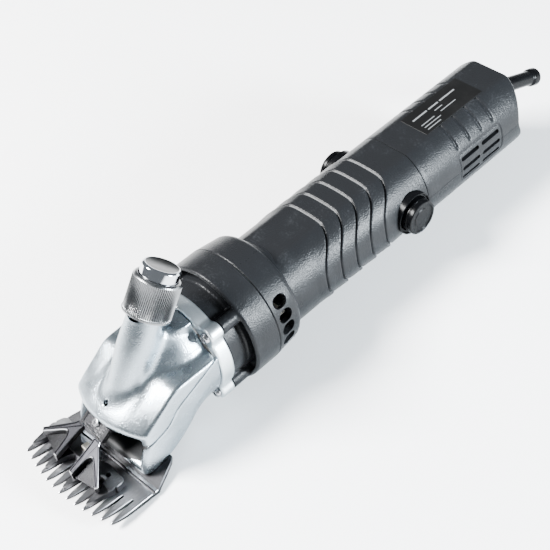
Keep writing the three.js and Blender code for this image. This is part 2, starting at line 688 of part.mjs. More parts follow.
function combTeethOutline() {
  const [rootHalf, tipHalf] = [2.05, 0.7];
  const points = [];
  for (let i = 0; i < COMB_TEETH; i += 1) {
    const y = (i - (COMB_TEETH - 1) / 2) * TOOTH_PITCH;
    const outerLow = i === 0 ? COMB_HALF_WIDTH + y : rootHalf;
    const outerHigh = i === COMB_TEETH - 1 ? COMB_HALF_WIDTH - y : rootHalf;
    points.push([combArc(COMB_ROOT_X, y - outerLow), y - outerLow]);
    points.push([combArc(COMB_TIP_X + 1.2, y), y - tipHalf]);
    points.push([combArc(COMB_TIP_X, y), y]);
    points.push([combArc(COMB_TIP_X + 1.2, y), y + tipHalf]);
    points.push([combArc(COMB_ROOT_X, y + outerHigh), y + outerHigh]);
  }
  points.push([COMB_HEEL_X + 7, COMB_HALF_WIDTH], [COMB_HEEL_X + 7, -COMB_HALF_WIDTH]);
  return points;
}

function comb() {
  const plan = slab(combTeethOutline(), "z", -6, 0);
  const side = slab(
    [[-141, 0], [-141, -0.9], [COMB_ROOT_X, -2.8], [COMB_HEEL_X + 8, -COMB_THICKNESS],
      [COMB_HEEL_X + 8, 0]],
    "y", -45, 45,
  );
  const teeth = combToWorld(plan.intersect(side));
  const rearTop = (x) => seatZ(x) - GAP;
  const rearSide = slab(
    [[-104, rearTop(-104)], [COMB_REAR_X, rearTop(COMB_REAR_X)],
      [COMB_REAR_X, rearTop(COMB_REAR_X) - 3], [-100, -38.4], [-104, -38.2]],
    "y", -45, 45,
  );
  const rearPlan = slab(
    [[-104, -COMB_HALF_WIDTH], [-100, -COMB_HALF_WIDTH], [COMB_REAR_X, -COMB_REAR_HALF_WIDTH],
      [COMB_REAR_X, COMB_REAR_HALF_WIDTH], [-100, COMB_HALF_WIDTH], [-104, COMB_HALF_WIDTH]],
    "z", -45, -25,
  );
  const slots = [-1, 1].map((side2) => {
    const y = side2 * COMB_SCREW_Y;
    return union(
      round(at(COMB_SCREW_X, y, 0), Z_AXIS, -45, -25, 3.2, 0, 16),
      block([COMB_SCREW_X, COMB_REAR_X + 5], [y - 3.2, y + 3.2], [-45, -25]),
    );
  });
  return cut(union(teeth, rearSide.intersect(rearPlan)), ...slots);
}
addPiece("comb", comb(), "combSteel");

[["near", -1], ["far", 1]].forEach(([name, side]) => {
  const origin = at(COMB_SCREW_X, side * COMB_SCREW_Y, 0);
  const head = round(origin, Z_AXIS, -38.8, -37.3, 5.2, 0, 20);
  const shank = round(origin, Z_AXIS, -38, -27, 2.8, 0, 16);
  addPiece(`comb_screw_${name}`, union(head, shank), "screw");
});

// ---- Fork, feet and cutter, drawn in the middle of the stroke ---------------------------------
function cutter() {
  const tines = 4;
  const [tipX, rootX, backX] = [-135, -119, -107.5];
  const points = [];
  for (let i = 0; i < tines; i += 1) {
    const y = (i - (tines - 1) / 2) * 3 * TOOTH_PITCH;
    points.push([combArc(rootX, y), y - TINE_HALF_WIDTH]);
    points.push([combArc(tipX + 2, y), y - 1.3]);
    points.push([combArc(tipX, y), y]);
    points.push([combArc(tipX + 2, y), y + 1.3]);
    points.push([combArc(rootX, y), y + TINE_HALF_WIDTH]);
  }
  const half = 1.5 * 3 * TOOTH_PITCH + TINE_HALF_WIDTH;
  points.push([backX + 1, half], [backX, half - 2], [backX - 3, 8], [backX - 3, -8], [backX, -half + 2]);
  points.push([backX + 1, -half]);
  const plan = slab(points, "z", GAP, CUTTER_THICKNESS + GAP);
  const side = slab(
    [[-137, 0], [-105, 0], [-105, CUTTER_THICKNESS + GAP], [-119, CUTTER_THICKNESS + GAP], [-137, 2.2]],
    "y", -45, 45,
  );
  const holes = [-1, 1].map((s) => round(at(-114, s * 21, 0), Z_AXIS, -1, 8, 1.7, 0, 12));
  return combToWorld(cut(plan.intersect(side), ...holes));
}
addPiece("cutter", cutter(), "cutterSteel", fork);

function forkArm() {
  const beam = slab(
    [[-46, 16], [-56, 10], [-88, -4.6], [-98.6, -8.2], [-98.6, -14], [-88, -12.5], [-58, -3], [-46, 2]],
    "y", -6, 6,
  );
  const cross = block([-46, -41], [-12.5, 12.5], [4, 17]);
  const cheeks = [-1, 1].map((side) => {
    const span = side > 0 ? [9, 12.5] : [-12.5, -9];
    return block([-42, -36.2], span, [6, 17]);
  });
  const front = slab([[-86, -5.5], [-98.6, -9], [-98.6, -14], [-86, -12]], "y", -10, 10);
  const socket = round(at(FULCRUM_X, 0, 0), Z_AXIS, -20, -1.2, 4.8, 0, 20);
  return cut(union(beam, cross, ...cheeks, front), socket);
}
addPiece("fork_arm", forkArm(), "forkSteel", fork);

// The front bar slopes down from the arm to the feet.
const BAR_REAR = at(-99.8, 0, -10.9);
const BAR_FRONT = at(-106.6, 0, -16.4);
const barSlope = Math.atan2(BAR_FRONT.z - BAR_REAR.z, BAR_REAR.x - BAR_FRONT.x);

function forkPlate() {
  const thickness = 3.2;
  return slab(
    [[BAR_REAR.x, BAR_REAR.z], [BAR_REAR.x, BAR_REAR.z - thickness - 1],
      [BAR_FRONT.x, BAR_FRONT.z - thickness], [BAR_FRONT.x, BAR_FRONT.z]],
    "y", -FORK_HALF_WIDTH, FORK_HALF_WIDTH,
  );
}
const BAR_NORMAL = at(Math.sin(barSlope), 0, Math.cos(barSlope));
const PLATE_SCREW = at(-101.6, 0, -12.3);
addPiece(
  "fork_plate",
  cut(forkPlate(), round(PLATE_SCREW, BAR_NORMAL, -12, 3, 1.9, 0, 12)),
  "forkSteel",
  fork,
);
addPiece(
  "fork_plate_screw",
  union(
    round(PLATE_SCREW, BAR_NORMAL, GAP, 1.8, 2.6, 0, 16),
    round(PLATE_SCREW, BAR_NORMAL, -2, 1, 1.4, 0, 12),
  ),
  "screw",
  fork,
);

// Each foot is an upside-down V of two tall blades, whose tips press on the cutter.
function foot(side) {
  const apex = at(-107.9, side * 8.6, -16.6);
  const outer = at(-122.6, side * 27.5, -25.6);
  const inner = at(-127.4, side * 8, -26.6);
  const blades = [outer, inner].map((tip) => taperedBar(apex, tip, [3.2, 4.6], [1.8, 2.2]));
  const knuckle = block([-109.6, BAR_FRONT.x - GAP], side > 0 ? [5.4, 10.8] : [-10.8, -5.4], [-19.6, -15]);
  const web = slab(
    [[-109, side * 6.8], [-109, side * 10.6], [-114.5, side * 16.4], [-116.5, side * 8.2]],
    "z", -21.5, -19.2,
  );
  return union(knuckle, ...blades, web);
}
addPiece("foot_near", foot(-1), "forkSteel", fork);
addPiece("foot_far", foot(1), "forkSteel", fork);

// The fork swings about the fulcrum, on an axis square to the cutter's plane.
const swingAxis = at(Math.sin(COMB_PITCH), 0, Math.cos(COMB_PITCH));
const fulcrum = at(FULCRUM_X, 0, 0);
fork.quaternion.setFromAxisAngle(swingAxis, REST_SWING);
fork.position.copy(fulcrum).sub(fulcrum.clone().applyQuaternion(fork.quaternion));

// ---- Stand the object on Z = 0, centred over the origin ---------------------------------------
const bounds = new THREE.Box3().setFromObject(shears, true);
const middle = bounds.getCenter(new THREE.Vector3());
shears.position.set(-middle.x, -middle.y, -bounds.min.z);

export default shears;
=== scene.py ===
import json
import math

import bmesh
import bpy
import numpy as np
from mathutils import Matrix, Vector


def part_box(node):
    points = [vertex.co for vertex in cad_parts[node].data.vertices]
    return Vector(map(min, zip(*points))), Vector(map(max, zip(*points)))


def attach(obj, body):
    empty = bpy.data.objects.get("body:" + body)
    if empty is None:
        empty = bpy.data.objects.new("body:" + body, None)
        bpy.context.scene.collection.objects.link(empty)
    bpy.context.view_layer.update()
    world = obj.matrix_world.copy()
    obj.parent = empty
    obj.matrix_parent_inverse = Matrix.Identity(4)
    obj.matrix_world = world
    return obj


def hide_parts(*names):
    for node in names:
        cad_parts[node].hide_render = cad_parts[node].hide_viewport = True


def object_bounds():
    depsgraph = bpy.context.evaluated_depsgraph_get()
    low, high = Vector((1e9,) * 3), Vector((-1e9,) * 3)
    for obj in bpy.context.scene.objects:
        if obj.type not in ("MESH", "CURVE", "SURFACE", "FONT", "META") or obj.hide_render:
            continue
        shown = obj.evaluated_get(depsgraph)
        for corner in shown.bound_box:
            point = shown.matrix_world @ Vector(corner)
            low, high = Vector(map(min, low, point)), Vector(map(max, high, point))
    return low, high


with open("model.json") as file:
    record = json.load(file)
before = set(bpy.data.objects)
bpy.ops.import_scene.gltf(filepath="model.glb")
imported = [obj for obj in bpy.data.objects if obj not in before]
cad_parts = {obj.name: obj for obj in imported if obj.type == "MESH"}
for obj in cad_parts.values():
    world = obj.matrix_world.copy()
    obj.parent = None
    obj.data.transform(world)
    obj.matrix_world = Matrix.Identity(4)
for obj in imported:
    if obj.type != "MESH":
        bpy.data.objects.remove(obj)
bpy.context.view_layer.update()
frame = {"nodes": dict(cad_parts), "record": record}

# Lengths in this script are millimetres in the head's frame: X along the handle with X = 0 at the
# joint between gear cover and handle, Y across, Z up, and the head's axis at Y = Z = 0.
MM = 0.001
GAP = 0.3
flange_low, flange_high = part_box("head_flange")
ORIGIN = Vector((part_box("gear_cover")[1].x + GAP * MM, 0, (flange_low.z + flange_high.z) / 2))
FLOOR_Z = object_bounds()[0].z


def place(points):
    """Points in the head's frame as points of the row frame, in metres."""
    return np.asarray(points, float) * MM + np.array(ORIGIN)


def linked(name, data):
    """A new object in the scene."""
    obj = bpy.data.objects.new(name, data)
    bpy.context.scene.collection.objects.link(obj)
    return obj


# ---- Camera, floor and light ----
CAMERA_SPOT = (-303.5, -416.07, 550.22)
LOOK_AT = (31.64, -2.07, 0)
CAMERA_ROLL = math.radians(-8.75)
SENSOR_WIDTH = 36
FOCAL_SHARE = 2.40849  # focal length over the picture's width
SKY_TINT, SKY_STRENGTH = (0.88, 0.94, 1, 1), 0.3
FLOOR_WIDTH = 8


def make_camera():
    data = bpy.data.cameras.new("camera")
    camera = linked("camera", data)
    spot, target = Vector(place(CAMERA_SPOT)), Vector(place(LOOK_AT))
    aim = (target - spot).to_track_quat("-Z", "Y").to_matrix()
    turn = aim @ Matrix.Rotation(CAMERA_ROLL, 3, "Z")
    camera.matrix_world = Matrix.Translation(spot) @ turn.to_4x4()
    data.sensor_width = SENSOR_WIDTH
    data.lens = SENSOR_WIDTH * FOCAL_SHARE
    data.clip_start, data.clip_end = 0.01, 30
    bpy.context.scene.camera = camera


def make_softbox(name, spot, target, size, power, tint=(1, 1, 1)):
    data = bpy.data.lights.new(name, "AREA")
    data.shape = "RECTANGLE"
    data.size, data.size_y = size
    data.energy = power
    data.color = tint
    lamp = linked(name, data)
    lamp.location = spot
    lamp.rotation_euler = (Vector(target) - Vector(spot)).to_track_quat("-Z", "Y").to_euler()


def make_studio():
    world = bpy.data.worlds.new("studio")
    bpy.context.scene.world = world
    world.use_nodes = True
    background = world.node_tree.nodes["Background"]
    background.inputs["Color"].default_value = SKY_TINT
    background.inputs["Strength"].default_value = SKY_STRENGTH
    # The key lights the floor from behind. The low side light draws the band along the handle.
    make_softbox("key", spot=(-0.95, 0.8, 1.25), target=(0, 0, 0.03), size=(0.7, 0.55), power=250)
    make_softbox("side", spot=(0.5, -1.05, 0.34), target=(0.04, 0, 0.05), size=(0.34, 0.34),
                 power=105, tint=(0.84, 0.93, 1))
    bpy.ops.mesh.primitive_plane_add(size=FLOOR_WIDTH, location=(0, 0, FLOOR_Z))
    floor = bpy.context.object
    floor.name = "floor"
    floor.data.materials.append(LOOKS["floor"])


# ---- Materials ----
MOTTLE_SIZE = 14  # mm across the broad patches of a finish


def surface(name, color, metallic, roughness, grain, bump, variation=0.12, spread=0.06,
            specular=0.5):
    """A procedural finish. grain is the size of its finest marks in mm and bump their depth in mm;
    variation is how far the colour drifts, and spread how far the roughness does."""
    made = bpy.data.materials.new(name)
    made.use_nodes = True
    tree = made.node_tree
    link = tree.links.new
    shader = tree.nodes["Principled BSDF"]
    shader.inputs["Metallic"].default_value = metallic
    shader.inputs["Specular IOR Level"].default_value = specular

    def new_node(kind, **values):
        node = tree.nodes.new(kind)
        for socket, value in values.items():
            node.inputs[socket.replace("_", " ")].default_value = value
        return node

    where = new_node("ShaderNodeTexCoord").outputs["Object"]

    def noise(size, detail, stretch=None):
        node = new_node("ShaderNodeTexNoise", Scale=1 / (size * MM), Detail=detail)
        source = where
        if stretch:
            mapping = new_node("ShaderNodeMapping", Scale=stretch)
            link(where, mapping.inputs["Vector"])
            source = mapping.outputs["Vector"]
        link(source, node.inputs["Vector"])
        return node.outputs["Fac"]

    def ramp(source, low, high):
        node = new_node("ShaderNodeMapRange", From_Min=0.3, From_Max=0.7, To_Min=low, To_Max=high)
        link(source, node.inputs["Value"])
        return node.outputs["Result"]

    mottle = noise(MOTTLE_SIZE, 3.0)
    speck = noise(grain, 1.0, LOOK_STRETCH.get(name))
    blend = new_node("ShaderNodeMath")
    blend.operation = "ADD"
    link(ramp(mottle, -0.5, 0.5), blend.inputs[0])
    link(ramp(speck, -0.5, 0.5), blend.inputs[1])
    mix = new_node("ShaderNodeMix")
    mix.data_type = "RGBA"
    for end, share in (("A", 1 - variation), ("B", 1 + variation)):
        mix.inputs[end].default_value = (*[min(1, c * share) for c in color], 1)
    link(ramp(blend.outputs["Value"], 0, 1), mix.inputs["Factor"])
    link(mix.outputs["Result"], shader.inputs["Base Color"])
    link(ramp(mottle, roughness - spread, roughness + spread), shader.inputs["Roughness"])
    if bump:
        node = new_node("ShaderNodeBump", Distance=bump * MM, Strength=1)
        link(speck, node.inputs["Height"])
        link(node.outputs["Normal"], shader.inputs["Normal"])
    return made


# Ground faces are marked along X.
LOOK_STRETCH = {"comb_steel": (0.12, 1, 1), "cutter_steel": (0.15, 1, 1), "copper": (0.1, 1, 1)}

# Each row is a finish's colour, metallic, roughness, grain and bump, then its variation, spread and
# specular where they are not the usual ones.
FINISHES = {
    "floor": ((0.86, 0.86, 0.86), 0, 0.7, 4, 0, 0.004, 0.02, 0.1),
    "handle_plastic": ((0.0098, 0.0104, 0.0115), 0, 0.31, 0.8, 0.17, 0.3, 0.04, 0.1),
    "rating_plate": ((0.003, 0.003, 0.003), 0, 0.5, 0.8, 0.004, 0.2, 0.05, 0.15),
    "ink": ((0.12, 0.124, 0.128), 0, 0.5, 0.6, 0.002, 0.08),
    "soft_black": ((0.002, 0.0022, 0.0026), 0, 0.24, 0.7, 0.02, 0.3, 0.05, 0.06),
    "head_casting": ((0.37, 0.425, 0.465), 1, 0.28, 0.7, 0.14, 0.14, 0.05),
    "bearing_plate": ((0.5, 0.52, 0.54), 1, 0.45, 0.6, 0.03, 0.08),
    "flange_aluminium": ((0.66, 0.72, 0.75), 1, 0.38, 0.7, 0.08, 0.08),
    "comb_steel": ((0.4, 0.4, 0.42), 1, 0.3, 0.35, 0.01, 0.15, 0.05),
    "cutter_steel": ((0.09, 0.09, 0.095), 1, 0.3, 0.35, 0.01, 0.2, 0.05),
    "fork_steel": ((0.035, 0.035, 0.037), 1, 0.34, 0.8, 0.05, 0.3, 0.06),
    "gear_steel": ((0.42, 0.42, 0.43), 1, 0.35, 0.5, 0.01, 0.1),
    "knurled_nickel": ((0.2, 0.205, 0.21), 1, 0.26, 0.6, 0.01, 0.12),
    "polished_chrome": ((0.6, 0.62, 0.65), 1, 0.08, 2, 0, 0.03, 0.02),
    "screw_steel": ((0.4, 0.4, 0.41), 1, 0.25, 0.5, 0.006, 0.08),
    "bearing_steel": ((0.56, 0.57, 0.58), 1, 0.22, 0.5, 0.004, 0.06),
    "laminations": ((0.2, 0.2, 0.21), 1, 0.5, 0.5, 0.02, 0.15),
    "copper": ((0.62, 0.3, 0.17), 1, 0.3, 0.5, 0.01, 0.15),
    "carbon": ((0.02, 0.02, 0.02), 0, 0.7, 0.6, 0.02, 0.2),
    "brass": ((0.62, 0.47, 0.2), 1, 0.32, 0.5, 0.01, 0.1),
    "white_nylon": ((0.62, 0.6, 0.54), 0, 0.45, 1, 0.01, 0.05),
    "black_plastic": ((0.01, 0.01, 0.011), 0, 0.45, 0.7, 0.05, 0.2),
    # The next finish is a darker copy of comb_steel: painted shade on the teeth's sides and the
    # rear plate.
    "comb_steel_painted_shade": ((0.035, 0.035, 0.037), 1, 0.36, 0.4, 0.012, 0.25),
    "pale_block": ((0.7, 0.68, 0.6), 1, 0.4, 0.7, 0.04, 0.15),
    "fork_texture": ((0.04, 0.04, 0.042), 1, 0.36, 0.9, 0.4, 0.5, 0.1),
    # The next finish is painted shade for the inside of the castings, with an oily look.
    "casting_inside_painted_shade": ((0.02, 0.021, 0.022), 0, 0.5, 0.7, 0.05, 0.3, 0.05, 0.2),
    "cap_top": ((0.022, 0.023, 0.024), 1, 0.34, 0.5, 0.01, 0.06),
    # The next two finishes are painted highlight on the foot rims and painted shade on the sunk
    # foot tops.
    "rim_painted_highlight": ((0.4, 0.4, 0.41), 1, 0.22, 0.5, 0.004, 0.1),
    "foot_top_painted_shade": ((0.016, 0.016, 0.018), 1, 0.42, 0.8, 0.05, 0.3, 0.06),
    # The next finish, lighter and less metallic than cutter_steel, is painted reflection for the
    # cutter's end faces.
    "cutter_painted_reflection": ((0.13, 0.132, 0.136), 0.35, 0.4, 0.35, 0.01, 0.25, 0.06),
    # The next finish is painted highlight for the groove floors on the flat.
    "groove_floor_painted_highlight": ((0.06, 0.063, 0.067), 0, 0.5, 0.5, 0.2, 0.5, 0.05, 0.3),
}
LOOKS = {name: surface(name, *finish) for name, finish in FINISHES.items()}


# ---- Mesh making ----
CREASE = math.radians(32)


def mesh_of(name, shape):
    """A mesh from (points, faces) in the head's frame."""
    points, faces = shape
    mesh = bpy.data.meshes.new(name)
    mesh.from_pydata(place(points).tolist(), [], [list(map(int, face)) for face in faces])
    return mesh


def add_piece(name, shape, body, slot, replaces=(), look=None, crease=CREASE):
    """A piece from a shape. It rides on a body and may stand for CAD nodes."""
    return add_mesh(name, mesh_of(name, shape), body, slot, replaces, look, crease)


def add_mesh(name, mesh, body, slot, replaces=(), look=None, crease=CREASE):
    mesh.validate()
    obj = linked(name, mesh)
    outward(mesh)
    mesh.shade_smooth()
    mesh.set_sharp_from_angle(angle=crease)
    mesh.materials.append(LOOKS[look or slot])
    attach(obj, body)
    if replaces:
        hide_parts(*replaces)
    return obj


def faces_of(obj):
    """Every face's middle, as its x, y and z in the head's frame, and how far it faces up."""
    middles = np.array([tuple(face.center) for face in obj.data.polygons])
    up = np.array([face.normal.z for face in obj.data.polygons])
    return ((middles - np.array(ORIGIN)) / MM).T, up


def paint(obj, look, chosen):
    """Another look for the chosen faces; chosen has true or false for each face."""
    obj.data.materials.append(LOOKS[look])
    obj.data.polygons.foreach_set("material_index", np.asarray(chosen, int))


def outward(mesh):
    work = bmesh.new()
    work.from_mesh(mesh)
    bmesh.ops.recalc_face_normals(work, faces=work.faces)
    work.to_mesh(mesh)
    work.free()


def scratch(shape):
    """A loose object for a boolean, from a shape or a ready mesh. It is removed after use."""
    mesh = shape
    if not isinstance(shape, bpy.types.Mesh):
        mesh = mesh_of("tool", shape)
        outward(mesh)
    return linked("tool", mesh)


def combine(base, *tools, operation="DIFFERENCE"):
    """The base after each tool shape has cut it, or met it, as a mesh."""
    obj = scratch(base)
    made = [scratch(tool) for tool in tools]
    for tool in made:
        step = obj.modifiers.new("step", "BOOLEAN")
        step.object = tool
        step.operation = operation
        step.solver = "EXACT"
    bpy.context.view_layer.update()
    graph = bpy.context.evaluated_depsgraph_get()
    result = bpy.data.meshes.new_from_object(obj.evaluated_get(graph))
    for one in [obj, *made]:
        bpy.data.objects.remove(one)
    return result


def together(*shapes):
    """Several shapes as one shape."""
    points, faces, count = [], [], 0
    for some_points, some_faces in shapes:
        points.extend(map(tuple, some_points))
        faces.extend([[i + count for i in face] for face in some_faces])
        count += len(some_points)
    return points, faces


def ring_skin(rings, closed=False):
    """A skin over rings of equal length, capped at both ends, or joined end to end if closed."""
    rings = np.asarray(rings, float)
    rows, count = rings.shape[:2]
    faces = []
    for row in range(rows if closed else rows - 1):
        a, b = row * count, (row + 1) % rows * count
        faces += [[a + i, a + (i + 1) % count, b + (i + 1) % count, b + i] for i in range(count)]
    if not closed:
        faces += [list(range(count))[::-1], [(rows - 1) * count + i for i in range(count)]]
    return rings.reshape(-1, 3), faces


def rounded(outline, radii, steps=4, closed=True):
    """A polyline with an arc of the given radius at each corner; 0 keeps the corner."""
    corners = [np.array(p, float) for p in outline]
    count = len(corners)
    radii = radii if hasattr(radii, "__len__") else [radii] * count
    points = []
    for i, corner in enumerate(corners):
        if radii[i] == 0 or (not closed and i in (0, count - 1)):
            points.append(corner)
            continue
        back, ahead = corners[i - 1] - corner, corners[(i + 1) % count] - corner
        reach = min(radii[i], 0.45 * np.linalg.norm(back), 0.45 * np.linalg.norm(ahead))
        start = corner + back / np.linalg.norm(back) * reach
        end = corner + ahead / np.linalg.norm(ahead) * reach
        for t in np.linspace(0, 1, steps + 1):
            points.append((1 - t) ** 2 * start + 2 * t * (1 - t) * corner + t * t * end)
    return np.array(points)


def axes_of(direction):
    forward = np.array(direction, float) / np.linalg.norm(direction)
    helper = np.array([0.0, 1, 0]) if abs(forward[1]) < 0.9 else np.array([1.0, 0, 0])
    side = np.cross(helper, forward)
    side /= np.linalg.norm(side)
    return side, np.cross(forward, side), forward


def off_axis(profile):
    """The profile with its ends just off the axis, so that no ring closes to a point."""
    return [(along, max(radius, 0.02)) for along, radius in profile]


def turned(profile, foot, direction, count=96, closed=False, flute=None):
    """A profile of (distance along the axis, radius) turned round it. flute(angles, along) adds to
    the radius."""
    side, other, forward = axes_of(direction)
    angles = np.linspace(0, 2 * math.pi, count, endpoint=False)
    rings = []
    for along, radius in profile:
        reach = radius + (flute(angles, along) if flute else 0)
        spread = np.outer(np.cos(angles) * reach, side) + np.outer(np.sin(angles) * reach, other)
        rings.append(np.array(foot) + forward * along + spread)
    return ring_skin(rings, closed)


def rectangle(x0, x1, y0, y1):
    return [(x0, y0), (x1, y0), (x1, y1), (x0, y1)]


def prism(outline, axis, low, high, bevel=0.0):
    """An outline extruded along X, Y or Z, with its rims bevelled."""
    outline = np.array(outline, float)
    rows = [(low, 0), (high, 0)]
    if bevel:
        rows = [(low, bevel), (low + bevel, 0), (high - bevel, 0), (high, bevel)]
    rings = []
    for level, inset in rows:
        flat = inset_outline(outline, inset) if inset else outline
        rings.append(np.insert(flat, "xyz".index(axis), level, axis=1))
    return ring_skin(rings)


def inset_outline(outline, inset):
    """The outline moved inwards by inset, corner by corner."""
    ahead = np.roll(outline, -1, 0) - outline
    ahead /= np.maximum(np.linalg.norm(ahead, axis=1, keepdims=True), 1e-9)
    turn = np.stack([-ahead[:, 1], ahead[:, 0]], 1)
    both = turn + np.roll(turn, 1, 0)
    both /= np.maximum((both**2).sum(1, keepdims=True), 0.4) / 2
    x, y = outline[:, 0], outline[:, 1]
    area = (x * np.roll(y, -1) - np.roll(x, -1) * y).sum()
    return outline + both * inset * (1 if area > 0 else -1)


def smooth_max(a, b, width):
    share = np.maximum(width - np.abs(a - b), 0) / width
    return np.maximum(a, b) + share * share * width / 4


def smooth_min(a, b, width):
    return -smooth_max(-a, -b, width)


def smooth_step(value, start, end):
    t = np.clip((value - start) / (end - start), 0, 1)
    return t * t * (3 - 2 * t)


def curve_through(xs, ys):
    """A smooth function through points, for values that change along a piece."""
    xs, ys = np.array(xs, float), np.array(ys, float)
    if xs[0] > xs[-1]:
        xs, ys = xs[::-1], ys[::-1]
    slopes = np.gradient(ys, xs)

    def value(x):
        x = np.clip(x, xs[0], xs[-1])
        i = np.clip(np.searchsorted(xs, x) - 1, 0, len(xs) - 2)
        span = xs[i + 1] - xs[i]
        t = (x - xs[i]) / span
        a, b = ys[i], ys[i + 1]
        sa, sb = slopes[i] * span, slopes[i + 1] * span
        start = (2 * t**3 - 3 * t**2 + 1) * a + (t**3 - 2 * t**2 + t) * sa
        return start + (3 * t**2 - 2 * t**3) * b + (t**3 - t**2) * sb

    return value


NUDGE = 0.05  # mm either side of a point for its field's slope


def field_skin(field, low, high, cell):
    """The closed skin where field(x, y, z) is zero, negative inside, by surface nets."""
    axes = [np.arange(a, b + cell, cell) for a, b in zip(low, high)]
    value = field(*np.meshgrid(*axes, indexing="ij"))
    value = np.where(value == 0, 1e-6, value)
    inside = value < 0
    corners = [(i, j, k) for i in (0, 1) for j in (0, 1) for k in (0, 1)]
    size = [n - 1 for n in value.shape]
    count = sum(inside[tuple(slice(c, c + n) for c, n in zip(corner, size))].astype(int)
                for corner in corners)
    cells = np.argwhere((count > 0) & (count < 8))
    number = -np.ones(size, int)
    number[tuple(cells.T)] = np.arange(len(cells))
    units = np.eye(3, dtype=int)
    # Each cell's point is the mean of where its edges cross the skin.
    total, hits = np.zeros((len(cells), 3)), np.zeros(len(cells))
    for axis, step in enumerate(units):
        for corner in corners:
            if corner[axis]:
                continue
            start = cells + corner
            a = value[tuple(start.T)]
            b = value[tuple((start + step).T)]
            crossed = (a < 0) != (b < 0)
            share = np.where(crossed, a / np.where(crossed, a - b, 1), 0)
            total += np.where(crossed[:, None], start + share[:, None] * step, 0)
            hits += crossed
    points = np.array(low) + cell * total / hits[:, None]
    # Two steps down the slope bring it onto the skin.
    for _ in range(2):
        here = field(*points.T)
        slope = np.stack([field(*(points + d).T) - field(*(points - d).T)
                          for d in np.eye(3) * NUDGE], 1) / (2 * NUDGE)
        move = -here[:, None] * slope / np.maximum((slope**2).sum(1, keepdims=True), 0.05)
        reach = np.linalg.norm(move, axis=1, keepdims=True)
        points = points + move * np.minimum(1, 0.5 * cell / np.maximum(reach, 1e-9))
    # Every grid edge through the skin gives the face that joins the four cells round it.
    faces = []
    for axis, step in enumerate(units):
        u, v = units[(axis + 1) % 3], units[(axis + 2) % 3]
        inner, ahead = [slice(1, -1)] * 3, [slice(1, -1)] * 3
        inner[axis], ahead[axis] = slice(0, -1), slice(1, None)
        start, end = inside[tuple(inner)], inside[tuple(ahead)]
        for mask, order in ((start & ~end, (0, 1, 2, 3)), (~start & end, (3, 2, 1, 0))):
            edges = np.argwhere(mask) + (1 - step)
            ring = [edges - u - v, edges - v, edges, edges - u]
            quad = [number[tuple(c.T)] for c in ring]
            faces.append(np.stack([quad[i] for i in order], 1))
    return points, np.concatenate(faces)


# ---- Handle ----
BODY_RADIUS = 29.7
BODY_CENTRE_Z = -2.2
FLAT_Z = 24.7
RING_RADIUS = 37.8
COVER_START = 136.3
SPLIT_Z = -1
SKIN_CENTRE_Z = -1.0  # the handle's skin is drawn round this level
ANGLES = np.linspace(0, 2 * math.pi, 180, endpoint=False)
GROOVE_PITCH = 12.587
GROOVES = [62.9 + GROOVE_PITCH * i for i in range(5)]
SWITCH = (121.5, 0, -1.4)
COLLAR_SLOPE = 4.4 / RING_RADIUS
COLLAR_REAR, COLLAR_EDGE, COLLAR_NECK = 16, 19, 31.5  # where its cone, its edge and its neck end
EDGE_DROP, NECK_RADIUS = 1.6, 23.5
VENT_X, VENT_LONG, VENT_WIDE = 7.7, 10.2, 7.9
SHELL_WALL = 3


def circle_reach(angles, radius, centre_z):
    offset = centre_z - SKIN_CENTRE_Z
    return offset * np.sin(angles) + np.sqrt(radius**2 - (offset * np.cos(angles)) ** 2)


def barrel_reach(angles, inset=0.0):
    """How far the handle's skin stands from its middle: an arc, with a flat across the top."""
    arc = circle_reach(angles, BODY_RADIUS - inset, BODY_CENTRE_Z)
    lift = np.sin(angles)
    flat = np.where(lift > 0.2, (FLAT_Z - inset - SKIN_CENTRE_Z) / np.maximum(lift, 0.2), 99)
    return smooth_min(arc, flat, 0.9)


def collar_radius(x):
    """The collar's outline: a slight cone, a rounded rear edge, and a hollow down to the handle."""
    if x < 0.5:
        return RING_RADIUS - 0.5 + x
    cone = RING_RADIUS - COLLAR_SLOPE * min(x, COLLAR_REAR)
    if x < COLLAR_REAR:
        return cone
    if x < COLLAR_EDGE:
        return cone - EDGE_DROP * ((x - COLLAR_REAR) / (COLLAR_EDGE - COLLAR_REAR)) ** 2
    edge = cone - EDGE_DROP
    run = min(1.0, (x - COLLAR_EDGE) / (COLLAR_NECK - COLLAR_EDGE))
    return edge - (edge - NECK_RADIUS) * math.sqrt(1 - (1 - run) ** 2)


def level_of(angles):
    """Degrees above the horizontal, the same on both sides."""
    return np.degrees(np.arcsin(np.sin(angles)))


def groove_shift(angles):
    """How far a groove lies forward of its place on the flat: an S down each side."""
    return -16 * np.exp(-((np.abs(level_of(angles) - 2) / 41) ** 2.6))


def side_share(angles):
    """1 on the round sides and 0 on the flat top and underside."""
    level = level_of(angles)
    return smooth_step(level, -68, -40) * (1 - smooth_step(level, 48, 66))


def groove_depth(u):
    """Depth below, and swell above, the plain handle at a distance along the grip."""
    depth, swell = 0.0, 0.0
    for groove in GROOVES:
        depth = max(depth, 1.15 * math.exp(-((abs(u - groove) / 0.75) ** 2.4)))
    first, last = GROOVES[0] - GROOVE_PITCH, GROOVES[-1]
    if first < u < last:
        run = ((u - first) % GROOVE_PITCH) / GROOVE_PITCH
        swell = 0.75 * run**1.5 * (1 - smooth_step(run, 0.93, 1.0))
    return depth, swell


def handle_stations():
    """Distances along the handle, closer together where its outline turns."""
    collar = [0, 0.5, 1.5, 4, 8, 12, 14.5, 16, 17, 18, 18.6, 19, 19.3, 19.8, 20.5, 21.5, 23, 25, 27,
              29, 30.5, 32, 36, 41, 46, 50]
    across_groove = (-8.5, -6, -3.5, -2, -1.4, -1, -0.7, -0.4, 0, 0.4, 0.7, 1, 1.5, 2.6)
    grip = [groove + step for groove in GROOVES for step in across_groove]
    end = COVER_START - GAP
    return collar + grip + [118, 121, 124, 127, 130, 133, COVER_START - 1, end - 0.3, end]


